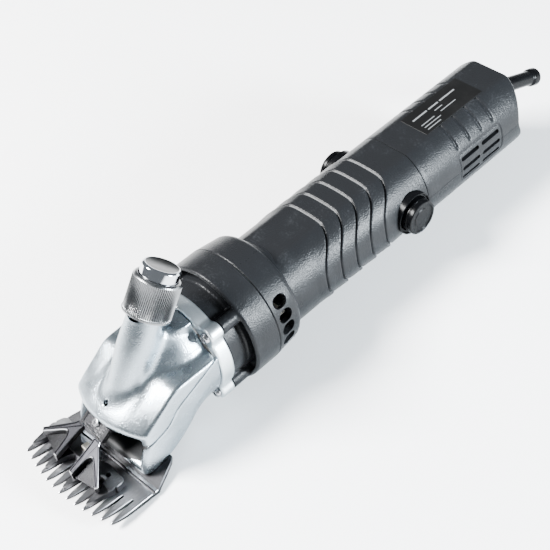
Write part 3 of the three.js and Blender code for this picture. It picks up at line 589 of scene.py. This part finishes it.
def handle_skin():
    rings = []
    for u in handle_stations():
        depth, swell = groove_depth(u)
        warp = smooth_step(u, 34, 60) * (1 - smooth_step(u, 116, 134))
        x = u + groove_shift(ANGLES) * warp
        reach = barrel_reach(ANGLES) - depth + swell * side_share(ANGLES)
        if u > COVER_START - GAP - 0.2:
            reach = reach - 0.3
        if u < 36:
            collar = circle_reach(ANGLES, collar_radius(u), 0)
            reach = smooth_max(reach, collar, 1.2) if u > COLLAR_EDGE else collar
        rings.append(around(x, reach))
    # The inside, from the rear to the front: the barrel's wall, then a round room in the collar.
    wall = barrel_reach(ANGLES, SHELL_WALL)
    rings += [around(COVER_START - GAP, wall), around(60, wall)]
    for u, radius in ((31, 26.5), (24, 27.5), (15, 32.2), (2, 33.8), (0, 33.8)):
        reach = circle_reach(ANGLES, radius, 0)
        rings.append(around(u, np.minimum(reach, wall) if u == 31 else reach))
    return ring_skin(rings, closed=True)


def around(x, reach):
    x = np.broadcast_to(x, ANGLES.shape)
    return np.stack([x, reach * np.cos(ANGLES), SKIN_CENTRE_Z + reach * np.sin(ANGLES)], 1)


def stadium(long, short, steps=8):
    """An outline with round ends, centred on 0, 0."""
    half = short / 2
    turn = np.linspace(-math.pi / 2, math.pi / 2, steps + 1)
    right = np.stack([long / 2 - half + half * np.cos(turn), half * np.sin(turn)], 1)
    return np.concatenate([right, -right])


def radial_slot(x, degrees, long, short, near, far):
    """A round-ended slot through a round wall, square to it."""
    out = np.array([0, math.cos(math.radians(degrees)), math.sin(math.radians(degrees))])
    across = np.array([0, -out[2], out[1]])
    outline = stadium(long, short)
    rings = []
    for reach in (near, far):
        centre = out * reach + (x, 0, 0)
        rings.append([centre + (a, 0, 0) + across * b for a, b in outline])
    return ring_skin(rings)


def make_handle():
    vents = [radial_slot(VENT_X, angle, VENT_LONG, VENT_WIDE, 28, 42)
             for degrees in (30, 15, 1, -14, -30) for angle in (degrees, 180 - degrees)]
    bore = turned([(-45, 11.4), (45, 11.4)], SWITCH, (0, 1, 0), 64)
    mesh = combine(handle_skin(), together(*vents), bore)
    shell = add_mesh("handle_shell_skin", mesh, "housing", "handle_plastic", ["handle_shell"])
    # The floors of the grooves across the flat get a lighter finish: painted highlight where they
    # catch the light.
    (x, y, z), up = faces_of(shell)
    on_grip = (50 < x) & (x < 120) & (np.abs(y) < 12.5)
    paint(shell, "groove_floor_painted_highlight", on_grip & (22.6 < z) & (z < FLAT_Z - 0.5) & (up > 0.1))
    socket = rounded(
        [(24, 11.5), (24, 13.7), (31.4, 13.7), (31.4, 12.9), (30.2, 12.4), (30.2, 11.5)],
        [0, 0, 0.7, 0.3, 0.3, 0.2], 3)
    knob = rounded(
        [(27, 0), (27, 11), (33.2, 11), (33.4, 10.7), (33.8, 10.7), (34, 11.1), (37, 11.1),
         (37, 9.3), (36.4, 8.9), (36.4, 6.4), (36.8, 6), (36.8, 0)],
        [0, 0.3, 0.2, 0.1, 0.1, 0.2, 0.8, 0.3, 0.2, 0.2, 0.2, 0], 3, closed=False)
    for name, side in (("near", -1), ("far", 1)):
        outward_axis = (0, side, 0)
        add_piece(f"switch_socket_{name}", turned(socket, SWITCH, outward_axis, 72, closed=True),
                  "housing", "handle_plastic", look="soft_black")
        add_piece(f"button_{name}_knob", turned(off_axis(knob), SWITCH, outward_axis, 72),
                  "switch", "soft_black", [f"button_{name}"])


# ---- Rear cover, label and cable sleeve ----
# Where the tail's end face stands at each height.
TAIL_LEVELS = curve_through(
    [-32, -20, -14, -8, -1, 5, 10, 17, 21, 26],
    [229.5, 230.3, 229.8, 227.2, 224.8, 225.4, 226.7, 229.5, 231.2, 233])
TAIL_ROUND = 1.6
PANEL = (166.5, 207.5, -9.8, 10.8)  # the slotted panel's ends, bottom and top
PANEL_CORNER = 3.4
BOOT_FOOT, BOOT_DIRECTION = (226, 0, 8.8), (54, 0, -21)
HALF_SEAM = 0.12


def panel_depth(x, z):
    middle_x, middle_z = (PANEL[0] + PANEL[1]) / 2, (PANEL[2] + PANEL[3]) / 2
    dx = np.abs(x - middle_x) - (PANEL[1] - PANEL[0]) / 2 + PANEL_CORNER
    dz = np.abs(z - middle_z) - (PANEL[3] - PANEL[2]) / 2 + PANEL_CORNER
    distance = np.hypot(np.maximum(dx, 0), np.maximum(dz, 0)) + np.minimum(np.maximum(dx, dz), 0)
    distance = distance - PANEL_CORNER
    line = 0.45 * np.exp(-((distance + 0.7) / 0.5) ** 2)
    return 0.25 * (1 - smooth_step(distance, -1.1, -0.2)) + line


def rib_groove_depth(x, angles):
    """Grooves that run down from the flat to just above the slotted panel."""
    level = level_of(angles)
    along = smooth_step(level, 28, 33) * (1 - smooth_step(level, 66, 72))
    depth = 0
    for middle in (169.1, 180.5, 191.6, 202.7):
        depth = np.maximum(depth, np.exp(-((np.abs(x - middle) / 0.95) ** 2.6)))
    return 0.8 * depth * along


def rear_skin():
    rings = []
    plain = [COVER_START, COVER_START + 0.3, 140, 150, 160, 164]
    fine = list(np.arange(165.5, 208.6, 0.45))
    tail = [211, 214, 217, 220, 222.5]
    outer = barrel_reach(ANGLES)
    z = SKIN_CENTRE_Z + outer * np.sin(ANGLES)
    on_side = np.abs(np.cos(ANGLES)) > 0.5
    for u in plain + fine + tail:
        inset = panel_depth(np.full_like(z, u), z) * on_side + rib_groove_depth(u, ANGLES)
        rings.append(around(u, outer - (0.12 if u == COVER_START else 0) - inset))
    end = TAIL_LEVELS(z)
    for angle in np.radians((0, 20, 40, 60, 80, 90)):
        rings.append(around(end - TAIL_ROUND + TAIL_ROUND * math.sin(angle),
                            outer - TAIL_ROUND * (1 - math.cos(angle))))
    for share in (0.75, 0.5, 0.25, 0.05):
        reach = outer * share
        rings.append(around(TAIL_LEVELS(SKIN_CENTRE_Z + reach * np.sin(ANGLES)), reach))
    wall = barrel_reach(ANGLES, SHELL_WALL)
    for u, share in ((221, 0.05), (221, 0.9), (218, 1), (COVER_START, 1)):
        rings.append(around(u, wall * share))
    return ring_skin(rings, closed=True)


def make_rear_cover():
    slots = [prism(stadium(16.6, 2.7) + (x, z), "y", *ends)
             for ends in ((-40, -18), (18, 40)) for z in (6.1, -0.7, -7.5) for x in (177.1, 196.4)]
    boot_hole = turned([(-14, 5.4), (14, 5.4)], BOOT_FOOT, BOOT_DIRECTION, 48)
    for name, bottom, top in (("upper", -60, SPLIT_Z + HALF_SEAM),
                              ("lower", SPLIT_Z - HALF_SEAM, 60)):
        other_half = prism(rectangle(130, 240, -60, 60), "z", bottom, top)
        mesh = combine(rear_skin(), other_half, together(*slots), boot_hole)
        add_mesh(f"rear_cover_{name}_skin", mesh, "housing", "handle_plastic",
                 [f"rear_cover_{name}"])


def make_boot():
    profile = rounded(
        [(-10.5, 3.4), (-10.5, 5.1), (6, 5.1), (49, 4.85), (50.5, 5.9), (56, 6), (57, 5),
         (57, 3.4)],
        [0, 0, 3, 1, 1, 1.6, 0.8, 0], 4)
    add_piece("cable_boot_sleeve", turned(profile, BOOT_FOOT, BOOT_DIRECTION, 64, closed=True),
              "housing", "soft_black", ["cable_boot"])


def make_label():
    outline = rounded(rectangle(157.8, 210.2, -10.8, 10.8), 0.8, 3)
    add_piece("rating_plate_face", prism(outline, "z", FLAT_Z - 0.4, FLAT_Z + 0.2, 0.08),
              "housing", "rating_plate", ["rating_plate"])
    # Plain bars stand in for printing: rows of Y, height and each bar's start and length.
    rows = [(4.2, 1.1, [(162, 13), (176.5, 9), (187, 14)]), (0.4, 0.6, [(178, 7)]),
            (-2.8, 0.6, [(162, 12), (180, 14)]), (-5.4, 0.6, [(162, 15)]), (-8, 0.6, [(162, 12)])]
    bars = [prism(rectangle(start, start + long, y - tall / 2, y + tall / 2), "z", FLAT_Z + 0.15,
                  FLAT_Z + 0.24)
            for y, tall, parts in rows for start, long in parts]
    add_piece("rating_plate_bars", together(*bars), "housing", "rating_plate", look="ink")


# ---- Gear cover and flange ----
FLANGE_FRONT, FLANGE_BACK, FLANGE_RADIUS = -38.6, -29.6, 31.5
EAR_RADIUS = 32.4
EARS = [(EAR_RADIUS * math.cos(turn), EAR_RADIUS * math.sin(turn))
        for turn in np.radians([45, 135, 225, 315])]
DRUM_FRONT, DRUM_RADIUS, RING_FRONT = -29.3, 30, -18


def to_ear(y, z):
    """Distance from the axis of the nearest screw."""
    return np.min([np.hypot(y - cy, z - cz) for cy, cz in EARS], axis=0)


def gear_cover_field(x, y, z):
    reach = np.hypot(y, z)
    drum = np.maximum(reach - DRUM_RADIUS, DRUM_FRONT - x)
    ring = smooth_max(reach - RING_RADIUS, RING_FRONT - x, 1.6)
    chamfer = 0.8 * (reach - RING_RADIUS) - (x - RING_FRONT) + 0.9
    ring = smooth_max(ring, chamfer, 0.6)
    channel = np.maximum(np.abs(reach - 33) - 2.6, x + 13.5)
    ring = smooth_max(ring, -channel, 0.6)
    outside = smooth_min(drum, ring, 1.2)
    column = np.maximum(to_ear(y, z) - 4.7, np.maximum(DRUM_FRONT - x, x + 12))
    outside = smooth_max(smooth_min(outside, column, 1.6), x + GAP, 0.5)
    inner = np.minimum(np.maximum(reach - 27, -26 - x), np.maximum(reach - 29.2, -12 - x))
    bearing = np.hypot(y, z - 12.5) - 9.8
    solid = np.maximum(outside, -np.minimum(inner, bearing))
    return np.maximum(solid, -np.maximum(to_ear(y, z) - 2, x + 20))


def flange_field(x, y, z):
    reach = smooth_min(np.hypot(y, z) - FLANGE_RADIUS, to_ear(y, z) - 5, 3.5)
    ends = np.maximum(FLANGE_FRONT - x, x - FLANGE_BACK)
    solid = smooth_max(reach, ends, 1.4)
    solid = smooth_max(solid, 26.5 - np.hypot(y, z), 0.8)
    return np.maximum(solid, 2.1 - to_ear(y, z))


def make_gear_cover():
    cover = field_skin(gear_cover_field, (-30.5, -39, -39), (0.7, 39, 39), 0.62)
    add_piece("gear_cover_skin", cover, "housing", "handle_plastic", ["gear_cover"])
    flange = field_skin(flange_field, (-39.6, -38, -38), (-28.6, 38, 38), 0.5)
    add_piece("head_flange_ring", flange, "housing", "flange_aluminium", ["head_flange"])


def phillips_screw(foot, direction, radius, height, shank, length):
    """A pan head with a cross recess. foot is at the underside of the head."""
    head = rounded(
        [(-length, 0), (-length, shank), (0, shank), (0, radius), (height, radius * 0.82),
         (height, 0)],
        [0, 0.2, 0.1, 0.2, 0.7, 0], 4, closed=False)
    side, other, forward = axes_of(direction)
    cross = []
    long, wide = radius * 0.62, radius * 0.17
    for one, two in ((side, other), (other, side)):
        rings = []
        for along, share in ((height * 0.35, 0.55), (height + 1, 1.15)):
            centre = np.array(foot) + forward * along
            rings.append([centre + one * long * share * a + two * wide * share * b
                          for a, b in ((-1, -1), (1, -1), (1, 1), (-1, 1))])
        cross.append(ring_skin(rings))
    return combine(turned(off_axis(head), foot, direction, 40), *cross)


def make_flange_screws():
    for i, (y, z) in enumerate(EARS):
        foot = (FLANGE_FRONT - GAP, y, z)
        mesh = phillips_screw(foot, (-1, 0, 0), 3.3, 2.1, 1.7, 16)
        node = f"flange_screw_{i + 1}"
        add_mesh(f"{node}_pan", mesh, "housing", "screw_steel", [node])


# ---- Head castings ----
TENSION_FOOT = np.array([-56.9, 0, 41.8])
TENSION_LEAN = math.radians(35.5)
TENSION_AXIS = np.array([math.sin(TENSION_LEAN), 0, math.cos(TENSION_LEAN)])
WALL = 3.0
CASTING_REAR_X = -38.9
COMB_SCREW_Y = 19
# The castings' outlines, from the flange to the nose.
HEAD_X = [-38.9, -50, -60, -70, -80, -90, -98, -103]
half_width = curve_through(HEAD_X, [30, 30, 29.8, 29.6, 29.5, 29.3, 28.8, 28])
crown_top = curve_through(HEAD_X, [13.5, 13.6, 13.8, 13.4, 9.5, 5.5, 1, -3.6])
crown_drop = curve_through(HEAD_X, [1.5, 1.6, 1.8, 2.2, 4.4, 7, 9, 10])
head_bottom = curve_through(HEAD_X, [-30, -30.3, -31.2, -32.8, -34, -35.5, -36, -36])
bottom_round = curve_through([-38.9, -54, -66, -78, -104], [29.6, 26, 15, 7, 4])
bump_radius = curve_through([-38.9, -46, -60, -72, -82, -90], [21, 22, 20.5, 17, 11, 3])
seam_level = curve_through([-106, -94, -86, -78, -70, -62, -36],
                           [-13.4, -13, -12, -9, -2, 1.8, 13])
NOSE_X, NOSE_ARC = -102.5, 98


def head_trough(x, y, z):
    """The sides and the rounded underside."""
    radius = bottom_round(x)
    side = np.abs(y) - (half_width(x) - radius)
    under = (head_bottom(x) + radius) - z
    corner = np.hypot(np.maximum(side, 0), np.maximum(under, 0))
    return corner + np.minimum(np.maximum(side, under), 0) - radius


def head_body(x, y, z):
    top = z - (crown_top(x) - crown_drop(x) * (y / 28) ** 2)
    upper = smooth_max(np.abs(y) - half_width(x), top * 0.95, 2.2)
    return np.maximum(upper, head_trough(x, y, z))


def head_bump(x, y, z):
    """The rounded housing over the gear end, which runs out towards the nose."""
    radius = bump_radius(x)
    top = 27.5 - smooth_step(-x, 46, 92) * 19 - smooth_step(-x, 78, 93) * 12
    return np.hypot(y, z - top + radius) - radius


def along_post(x, y, z):
    """Distance along the tension post's axis, and away from it."""
    offset_x, offset_z = x - TENSION_FOOT[0], z - TENSION_FOOT[2]
    along = offset_x * TENSION_AXIS[0] + offset_z * TENSION_AXIS[2]
    across = offset_x * TENSION_AXIS[2] - offset_z * TENSION_AXIS[0]
    return along, np.hypot(across, y)


post_radius = curve_through([-58, -54, -38, -24, -2, 2], [7.2, 7.6, 9.2, 10.4, 10.3, 10.3])


def clear_ears(solid, x, y, z):
    """The solid with pockets for the heads of the flange screws."""
    return smooth_max(solid, -np.maximum(to_ear(y, z) - 5.2, -49 - x), 2.5)


def head_outside(x, y, z):
    """The upper casting's outside: crown, swell, web, tension post and boss."""
    along, across = along_post(x, y, z)
    post = smooth_max(across - post_radius(along), along - 1.1, 0.6)
    post = smooth_max(post, -along - 54, 6)
    web_top = np.interp(x, [-104, -92, -84, -72, -62, -52, -38],
                        [-14, -6, 2, 22, 30, 27.2, 26.5])
    web = smooth_max(np.abs(y) - 7.5, z - web_top, 5)
    boss = smooth_max(np.hypot(x + 41, y) - 12.5, z - 28, 1.2)
    boss = np.maximum(boss, 8 - z)
    solid = smooth_min(head_body(x, y, z), head_bump(x, y, z), 2.5)
    solid = smooth_min(solid, web, 11)
    solid = smooth_min(solid, post, 5)
    return clear_ears(smooth_min(solid, boss, 2), x, y, z)


def nose_cut(x, y):
    return (NOSE_X + y * y / NOSE_ARC) - x


def head_hollow(x, y, z):
    """The room inside: under the crown, and up into the swell over the crank."""
    swell = np.maximum(head_bump(x, y, z) + WALL, np.maximum(z - 24, -74 - x))
    return np.minimum(head_body(x, y, z) + WALL, swell)


def head_upper_field(x, y, z):
    solid = smooth_max(head_outside(x, y, z), seam_level(x) + GAP / 2 - z, 1.1)
    solid = smooth_max(solid, nose_cut(x, y), 1.6)
    solid = smooth_max(solid, x - CASTING_REAR_X, 0.6)
    solid = smooth_max(solid, -head_hollow(x, y, z), 1.0)
    pin_bore = along_post(x, y, z)[1] - 3.8
    oil_hole = np.hypot(x + 95.1, y) - 1.5
    return np.maximum(solid, -np.minimum(pin_bore, oil_hole))


def seat_level(x):
    """Height of the lower casting's face that the comb is screwed to."""
    return -31.3 + 0.205 * (x + 82)


def head_lower_field(x, y, z):
    solid = smooth_max(head_body(x, y, z), z - seam_level(x) + GAP / 2, 1.1)
    solid = clear_ears(solid, x, y, z)
    solid = smooth_max(solid, x - CASTING_REAR_X, 0.6)
    above_floor = -28.3 - z
    hollow = np.maximum(np.maximum(head_trough(x, y, z) + WALL, above_floor), -88 - x)
    inner = 25.8 - 2.6 * smooth_step(-x, 80, 92)
    mouth = np.maximum(np.abs(y) - inner, np.maximum(x + 70, above_floor))
    solid = smooth_max(solid, -np.minimum(hollow, mouth), 1.0)
    solid = smooth_max(solid, seat_level(x) + 0.2 - z, 0.5)
    front = -100.5 - x + 0.019 * (z + 33) ** 2
    solid = smooth_max(solid, front, 5)
    # Holes through the floor, for the fulcrum post and the two comb screws.
    for hole_x, hole_y, radius in ((-53, 0, 4.3), (-89, -COMB_SCREW_Y, 3.1),
                                   (-89, COMB_SCREW_Y, 3.1)):
        hole = np.hypot(x - hole_x, y - hole_y) - radius
        solid = np.maximum(solid, -np.maximum(hole, z + 20))
    return solid


def make_head():
    for half, field, low, high in (
        ("upper", head_upper_field, (-104.5, -31.5, -14), (-38, 31.5, 45)),
        ("lower", head_lower_field, (-104.5, -31.5, -38), (-38, 31.5, 14)),
    ):
        casting = add_piece(f"head_{half}_casting", field_skin(field, low, high, 0.6),
                            "housing", "head_casting", [f"head_{half}"])
        # Faces inside the walls get a dark finish: painted shade for the shadowed inside, and the
        # oil on them.
        x, y, z = faces_of(casting)[0]
        painted_shade_faces = (head_body(x, y, z) < -2.2) & (z < np.where(x < -90, 0, 12)) & (nose_cut(x, y) < -1)
        paint(casting, "casting_inside_painted_shade", painted_shade_faces)


# ---- Tension nut ----
NUT_LENGTH, NUT_RADIUS, CAP_RADIUS, CAP_TOP = 22.2, 13.6, 10.9, 28.9
KNURLS = 76


def make_tension_nut():
    def flute(angles, along):
        band = smooth_step(along, 1.3, 1.9)
        band = band * (1 - smooth_step(along, NUT_LENGTH - 1.9, NUT_LENGTH - 1.3))
        return -0.62 * band * (0.5 + 0.5 * np.cos(angles * KNURLS))

    profile = [(0.1, 10.7), (0, 13.4), (0.3, 13.9), (1.2, 14), (1.5, 13.7), (1.9, NUT_RADIUS),
               (NUT_LENGTH - 1.9, NUT_RADIUS), (NUT_LENGTH - 1.5, 13.5), (NUT_LENGTH - 1.2, 13.4),
               (NUT_LENGTH - 0.3, 12.6), (NUT_LENGTH, 12.2), (NUT_LENGTH, 11.2), (1.6, 11.2),
               (1.6, 10.7)]
    nut = turned(profile, TENSION_FOOT, TENSION_AXIS, KNURLS * 6, True, flute)
    add_piece("tension_nut_knurl", nut, "tension_nut", "knurled_nickel", ["tension_nut"],
              crease=math.radians(50))
    side = rounded(
        [(14, 0), (14, CAP_RADIUS), (CAP_TOP - 1.1, CAP_RADIUS), (CAP_TOP, 9.9), (CAP_TOP, 9.3)],
        [0, 0.2, 0.3, 0.3, 0], 4, closed=False)
    profile = off_axis([*side, (CAP_TOP - 0.1, 9.1), (CAP_TOP - 0.1, 0)])
    cap = add_piece("tension_cap_chrome", turned(profile, TENSION_FOOT, TENSION_AXIS, 96),
                    "tension_nut", "polished_chrome", ["tension_cap"])
    from_top = faces_of(cap)[0].T - (TENSION_FOOT + TENSION_AXIS * CAP_TOP)
    paint(cap, "cap_top", np.linalg.norm(from_top, axis=1) < 9.25)


# ---- Comb, cutter and fork ----
TOOTH_PITCH, COMB_TEETH = 6.12, 13
COMB_ROOT_X, COMB_HEEL_X, COMB_REAR_X = -120, -107, -82
COMB_HALF = 38.7
COMB_TOP_Z, COMB_PITCH = -34.9, math.radians(4.1)
FULCRUM_X, REST_SWING = -53, math.radians(-6.6)
FULCRUM_AXIS = Vector((math.sin(COMB_PITCH), 0, math.cos(COMB_PITCH)))
CUTTER_TEETH, CUTTER_ROOT_X, CUTTER_END = 4, -119, 3.6
CUTTER_PITCH = 3 * TOOTH_PITCH
STEEL_CREASE = math.radians(20)


def comb_arc(x, y):
    """X on the gentle arc that the teeth's tips and roots follow."""
    return x + y * y / 210


def on_comb(points):
    """Points drawn flat, with Z = 0 on the comb's top face, pitched about the heel line."""
    points = np.array(points, float)
    run, rise = points[:, 0] - COMB_HEEL_X, points[:, 2].copy()
    points[:, 0] = COMB_HEEL_X + run * math.cos(COMB_PITCH) + rise * math.sin(COMB_PITCH)
    points[:, 2] = COMB_TOP_Z - run * math.sin(COMB_PITCH) + rise * math.cos(COMB_PITCH)
    return points


def swung(points):
    """Points drawn in the middle of the fork's stroke, turned to the rest pose."""
    turn = Matrix.Rotation(REST_SWING, 3, FULCRUM_AXIS)
    pivot = np.array([FULCRUM_X, 0, 0])
    return (np.array(points, float) - pivot) @ np.array(turn).T + pivot


def moved(shape, *moves):
    points, faces = shape
    for move in moves:
        points = move(points)
    return points, faces


def tooth(root_x, y, halves, i, count, outer):
    """Tooth i of count, out along one side and back along the other. halves has rows of (distance
    from the root, half width), and outer gives the half width at the plate's ends."""
    points = []
    for side, rows, at_end in ((-1, halves[::-1], i == 0), (1, halves, i == count - 1)):
        for along, half in rows:
            reach = outer(along, half) if at_end else half
            points.append((comb_arc(root_x + along, y), y + side * reach))
    return points


def comb_outline(inset=0.0):
    """Pointed teeth with narrow round-ended gaps. inset draws it that much smaller."""
    points = []
    gap, edge = 0.62 + inset, COMB_HALF - inset
    for i in range(COMB_TEETH):
        y = (i - (COMB_TEETH - 1) / 2) * TOOTH_PITCH
        halves = [(-18.5 + 2 * inset, 0.12), (-17.2 + inset, 0.75 - 0.5 * inset),
                  (-14, 1.45 - inset), (-9, 1.95 - inset), (-4, 2.25 - inset),
                  (0, TOOTH_PITCH / 2 - gap)]
        points += tooth(COMB_ROOT_X, y, halves, i, COMB_TEETH,
                        lambda along, half: edge - abs(y) if along > -12 else half)
        if i < COMB_TEETH - 1:
            middle = y + TOOTH_PITCH / 2
            for turn in np.radians((-50, 0, 50)):
                points.append((comb_arc(COMB_ROOT_X + gap * math.cos(turn), middle),
                               middle + gap * math.sin(turn)))
    return np.array(points + [(-98.6, edge), (-98.6, -edge)])


def layers(outline_at, rows):
    """A plate from (level, inset) rows of an outline drawn at each inset."""
    return ring_skin([np.insert(outline_at(inset), 2, level, axis=1) for level, inset in rows])


def make_comb():
    plate = moved(layers(comb_outline, [(-3.6, 0.1), (-0.3, 0), (0, 0.28)]), on_comb)
    # Seen from the side: thin at the tips, with a ridge and a groove across behind the roots.
    profile = [(-141, 0), (-141, -0.9), (COMB_ROOT_X, -2.8), (-99, -3.2), (-100.2, -0.6),
               (-100.8, 0), (-102.4, 0), (-102.9, -1), (-104.2, -1), (-104.7, 0), (-112, 0)]
    front = combine(plate, moved(prism(profile, "y", -45, 45), on_comb), operation="INTERSECT")
    teeth = add_mesh("comb_teeth", front, "housing", "comb_steel", ["comb"], crease=STEEL_CREASE)
    # The teeth's sides get a darker copy of the comb steel: painted shade in the gaps between the
    # teeth.
    paint(teeth, "comb_steel_painted_shade", np.abs(faces_of(teeth)[1]) < 0.6)
    rows, edge = [], 0.5
    for x, half in ((-103.4, COMB_HALF), (-100, COMB_HALF), (-96, 37.1), (-90, 34.7), (-84.6, 32.5),
                    (COMB_REAR_X, 30.4)):
        z = seat_level(x) - GAP
        if x < -98:
            z = min(z, COMB_TOP_Z - 0.9 + 0.35 * (x + 103.4))
        low = max(z - 3, -38.4)
        rows.append([(x, -half, low + edge), (x, -half, z - edge), (x, -half + edge, z),
                     (x, half - edge, z), (x, half, z - edge), (x, half, low + edge),
                     (x, half - edge, low), (x, -half + edge, low)])
    cuts = [prism(stadium(16, 6.4) + (COMB_REAR_X - 2, y), "z", -45, -25)
            for y in (-COMB_SCREW_Y, COMB_SCREW_Y)]
    rear = combine(ring_skin(rows), together(*cuts))
    # The rear plate gets the same darker copy of the comb steel: painted shade under the lower
    # casting.
    add_mesh("comb_rear_plate", rear, "housing", "comb_steel", look="comb_steel_painted_shade")


def cutter_outline(inset=0.0):
    """Wide pointed teeth in front, and a rear edge with a step on each side of the middle."""
    points = []
    end = CUTTER_END - inset
    for i in range(CUTTER_TEETH):
        y = (i - (CUTTER_TEETH - 1) / 2) * CUTTER_PITCH
        halves = [(-16.1 + 2 * inset, 0.2), (-14.6 + inset, 1.0 - 0.5 * inset), (-10, 1.9 - inset),
                  (-5, 2.8 - inset), (-1.5, 3.9 - inset), (0, 5.2 - inset)]
        points += tooth(CUTTER_ROOT_X, y, halves, i, CUTTER_TEETH,
                        lambda along, half: min(half, end))
        if i < CUTTER_TEETH - 1:
            middle = y + CUTTER_PITCH / 2
            points.append((comb_arc(-117.6 + inset, middle), middle))
    half, back = (CUTTER_TEETH - 1) / 2 * CUTTER_PITCH + end, -107.5 - inset
    rear = rounded(
        [(-114, half), (back, half - 1), (back, 14.5), (back - 3, 9), (back - 3, -9), (back, -14.5),
         (back, -half + 1), (-114, -half)],
        [1, 5, 4, 5, 5, 4, 5, 1], 5)
    return np.concatenate([points, rear])


def make_cutter():
    plate = moved(layers(cutter_outline, [(GAP, 0), (4.75, 0), (5.1, 0.35)]), on_comb)
    profile = [(-137, 0), (-105, 0), (-105, 5.6), (-117.5, 5.6), (-118.6, 4.6), (-135.2, 2.2),
               (-137, 1.2)]
    form = moved(prism(profile, "y", -45, 45), on_comb)
    body = combine(plate, form, operation="INTERSECT")
    points = np.array([tuple(vertex.co) for vertex in body.vertices])
    body.vertices.foreach_set("co", place(swung((points - np.array(ORIGIN)) / MM)).ravel())
    holes = [turned([(-2, 1.75), (9, 1.75)], (-112.4, y, 0), (0, 0, 1), 32) for y in (-21, 21)]
    mesh = combine(body, moved(together(*holes), on_comb, swung))
    cutter = add_mesh("cutter_blade", mesh, "fork", "cutter_steel", ["cutter"],
                      crease=STEEL_CREASE)
    # The top faces at the ends, round the holes, get a lighter, less metallic finish: painted
    # reflection, so that they look bright.
    (x, y, _), up = faces_of(cutter)
    paint(cutter, "cutter_painted_reflection", (x > -118) & (np.abs(y) > 12) & (up > 0.9))
    outline = rounded(rectangle(-113.6, -109, -4, 4), 0.6, 3)
    pad = moved(prism(outline, "z", 4.9, 8.4, 0.4), on_comb, swung)
    add_piece("cutter_pad", pad, "fork", "cutter_steel", look="pale_block")


def make_fork():
    rear, rise, run = np.array([-99.8, 0, -10.9]), 5.5, 6.8
    slope, reach = math.atan2(rise, run), math.hypot(rise, run)
    along = np.array([-math.cos(slope), 0, -math.sin(slope)])
    up = np.array([-math.sin(slope), 0, math.cos(slope)])

    def on_bar(points):
        """Points drawn flat: down the bar's slope from its rear edge, across, and up from it."""
        points = np.array(points, float)
        return rear + points @ np.stack([along, [0, 1, 0], up])

    outline = rounded(rectangle(0, reach, -10.6, 10.6), 0.5, 3)
    bar = prism(outline, "z", -3.2, -0.25, 0.25)
    rails = [prism(rectangle(0.4, reach - 0.1, y - 1, y + 1), "z", -0.6, 0.0, 0.2)
             for y in (-9.6, 9.6)]
    add_piece("fork_plate_bar", moved(bar, on_bar, swung), "fork", "fork_steel", ["fork_plate"],
              look="fork_texture")
    add_piece("fork_plate_rails", moved(together(*rails), on_bar, swung), "fork", "fork_steel")
    screw = phillips_screw((0, 0, 0), (0, 0, 1), 2.7, 1.7, 1.3, 2.4)
    spot = Vector(place(rear + along * 2.3 + up * -0.2))
    turn = Matrix((tuple(along), (0, 1, 0), tuple(up))).transposed().to_4x4()
    swing = Matrix.Rotation(REST_SWING, 4, FULCRUM_AXIS)
    pivot = Vector(place((FULCRUM_X, 0, 0)))
    screw.transform(Matrix.Translation(pivot) @ swing @ Matrix.Translation(spot - pivot) @ turn
                    @ Matrix.Translation(-ORIGIN))
    add_mesh("fork_plate_screw_pan", screw, "fork", "screw_steel", ["fork_plate_screw"])
    for name, side in (("near", -1), ("far", 1)):
        add_foot(name, side)


def foot_plane(x, y, side):
    """Height of the plane through a foot's apex and its two tips."""
    apex, outer, inner = (-107.9, 8.6, -16.6), (-122.6, 27.5, -25.6), (-127.4, 8.0, -26.6)
    square = np.cross(np.subtract(outer, apex), np.subtract(inner, apex))
    return apex[2] - (square[0] * (x - apex[0]) + square[1] * (y * side - apex[1])) / square[2]


def add_foot(name, side):
    outline = rounded(
        [(-107.0, 5.4), (-110, 6.0), (-127.6, 6.6), (-127.6, 9.4), (-117.5, 10.3), (-114.4, 12.4),
         (-116.6, 16.2), (-124.0, 26.6), (-122.2, 28.3), (-108.6, 11.6), (-107.0, 10.8)],
        [0.2, 2, 0.3, 0.3, 3, 3.2, 3, 0.3, 0.3, 1.5, 0.3], 5)
    rings = []
    # The last three rows make a raised rim and the sunk top inside it.
    for drop, inset in ((2.9, 0.25), (2.6, 0), (-0.9, 0), (-1.35, 0.3), (-1.35, 0.55),
                        (-0.7, 0.95)):
        ring = inset_outline(outline, inset) if inset else outline
        x, y = ring[:, 0], ring[:, 1] * side
        rings.append(np.stack([x, y, foot_plane(x, y, side) - drop], 1))
    foot = add_piece(f"foot_{name}_yoke", moved(ring_skin(rings), swung), "fork", "fork_steel",
                     [f"foot_{name}"], crease=math.radians(25))
    # The raised rim gets a brighter steel, painted highlight, and the sunk top inside it a darker
    # steel, painted shade.
    for look in ("rim_painted_highlight", "foot_top_painted_shade"):
        foot.data.materials.append(LOOKS[look])
    for face in foot.data.polygons:
        rows = sorted({index // len(outline) for index in face.vertices})
        face.material_index = 1 if rows == [2, 3] else 2 if rows[0] >= 3 else 0


make_camera()
make_studio()
make_handle()
make_rear_cover()
make_boot()
make_label()
make_gear_cover()
make_flange_screws()
make_head()
make_tension_nut()
make_comb()
make_cutter()
make_fork()

# ---- CAD pieces that stay ----
EDGE_BEVEL = 0.2 * MM
slots = {entry["node"]: entry["material_slot"] for entry in frame["record"]["subparts"]}
for node, obj in frame["nodes"].items():
    obj.data.materials.clear()
    obj.data.materials.append(LOOKS[slots[node]])
    bevel = obj.modifiers.new("edges", "BEVEL")
    bevel.width, bevel.segments = EDGE_BEVEL, 2
    bevel.limit_method, bevel.angle_limit = "ANGLE", math.radians(40)
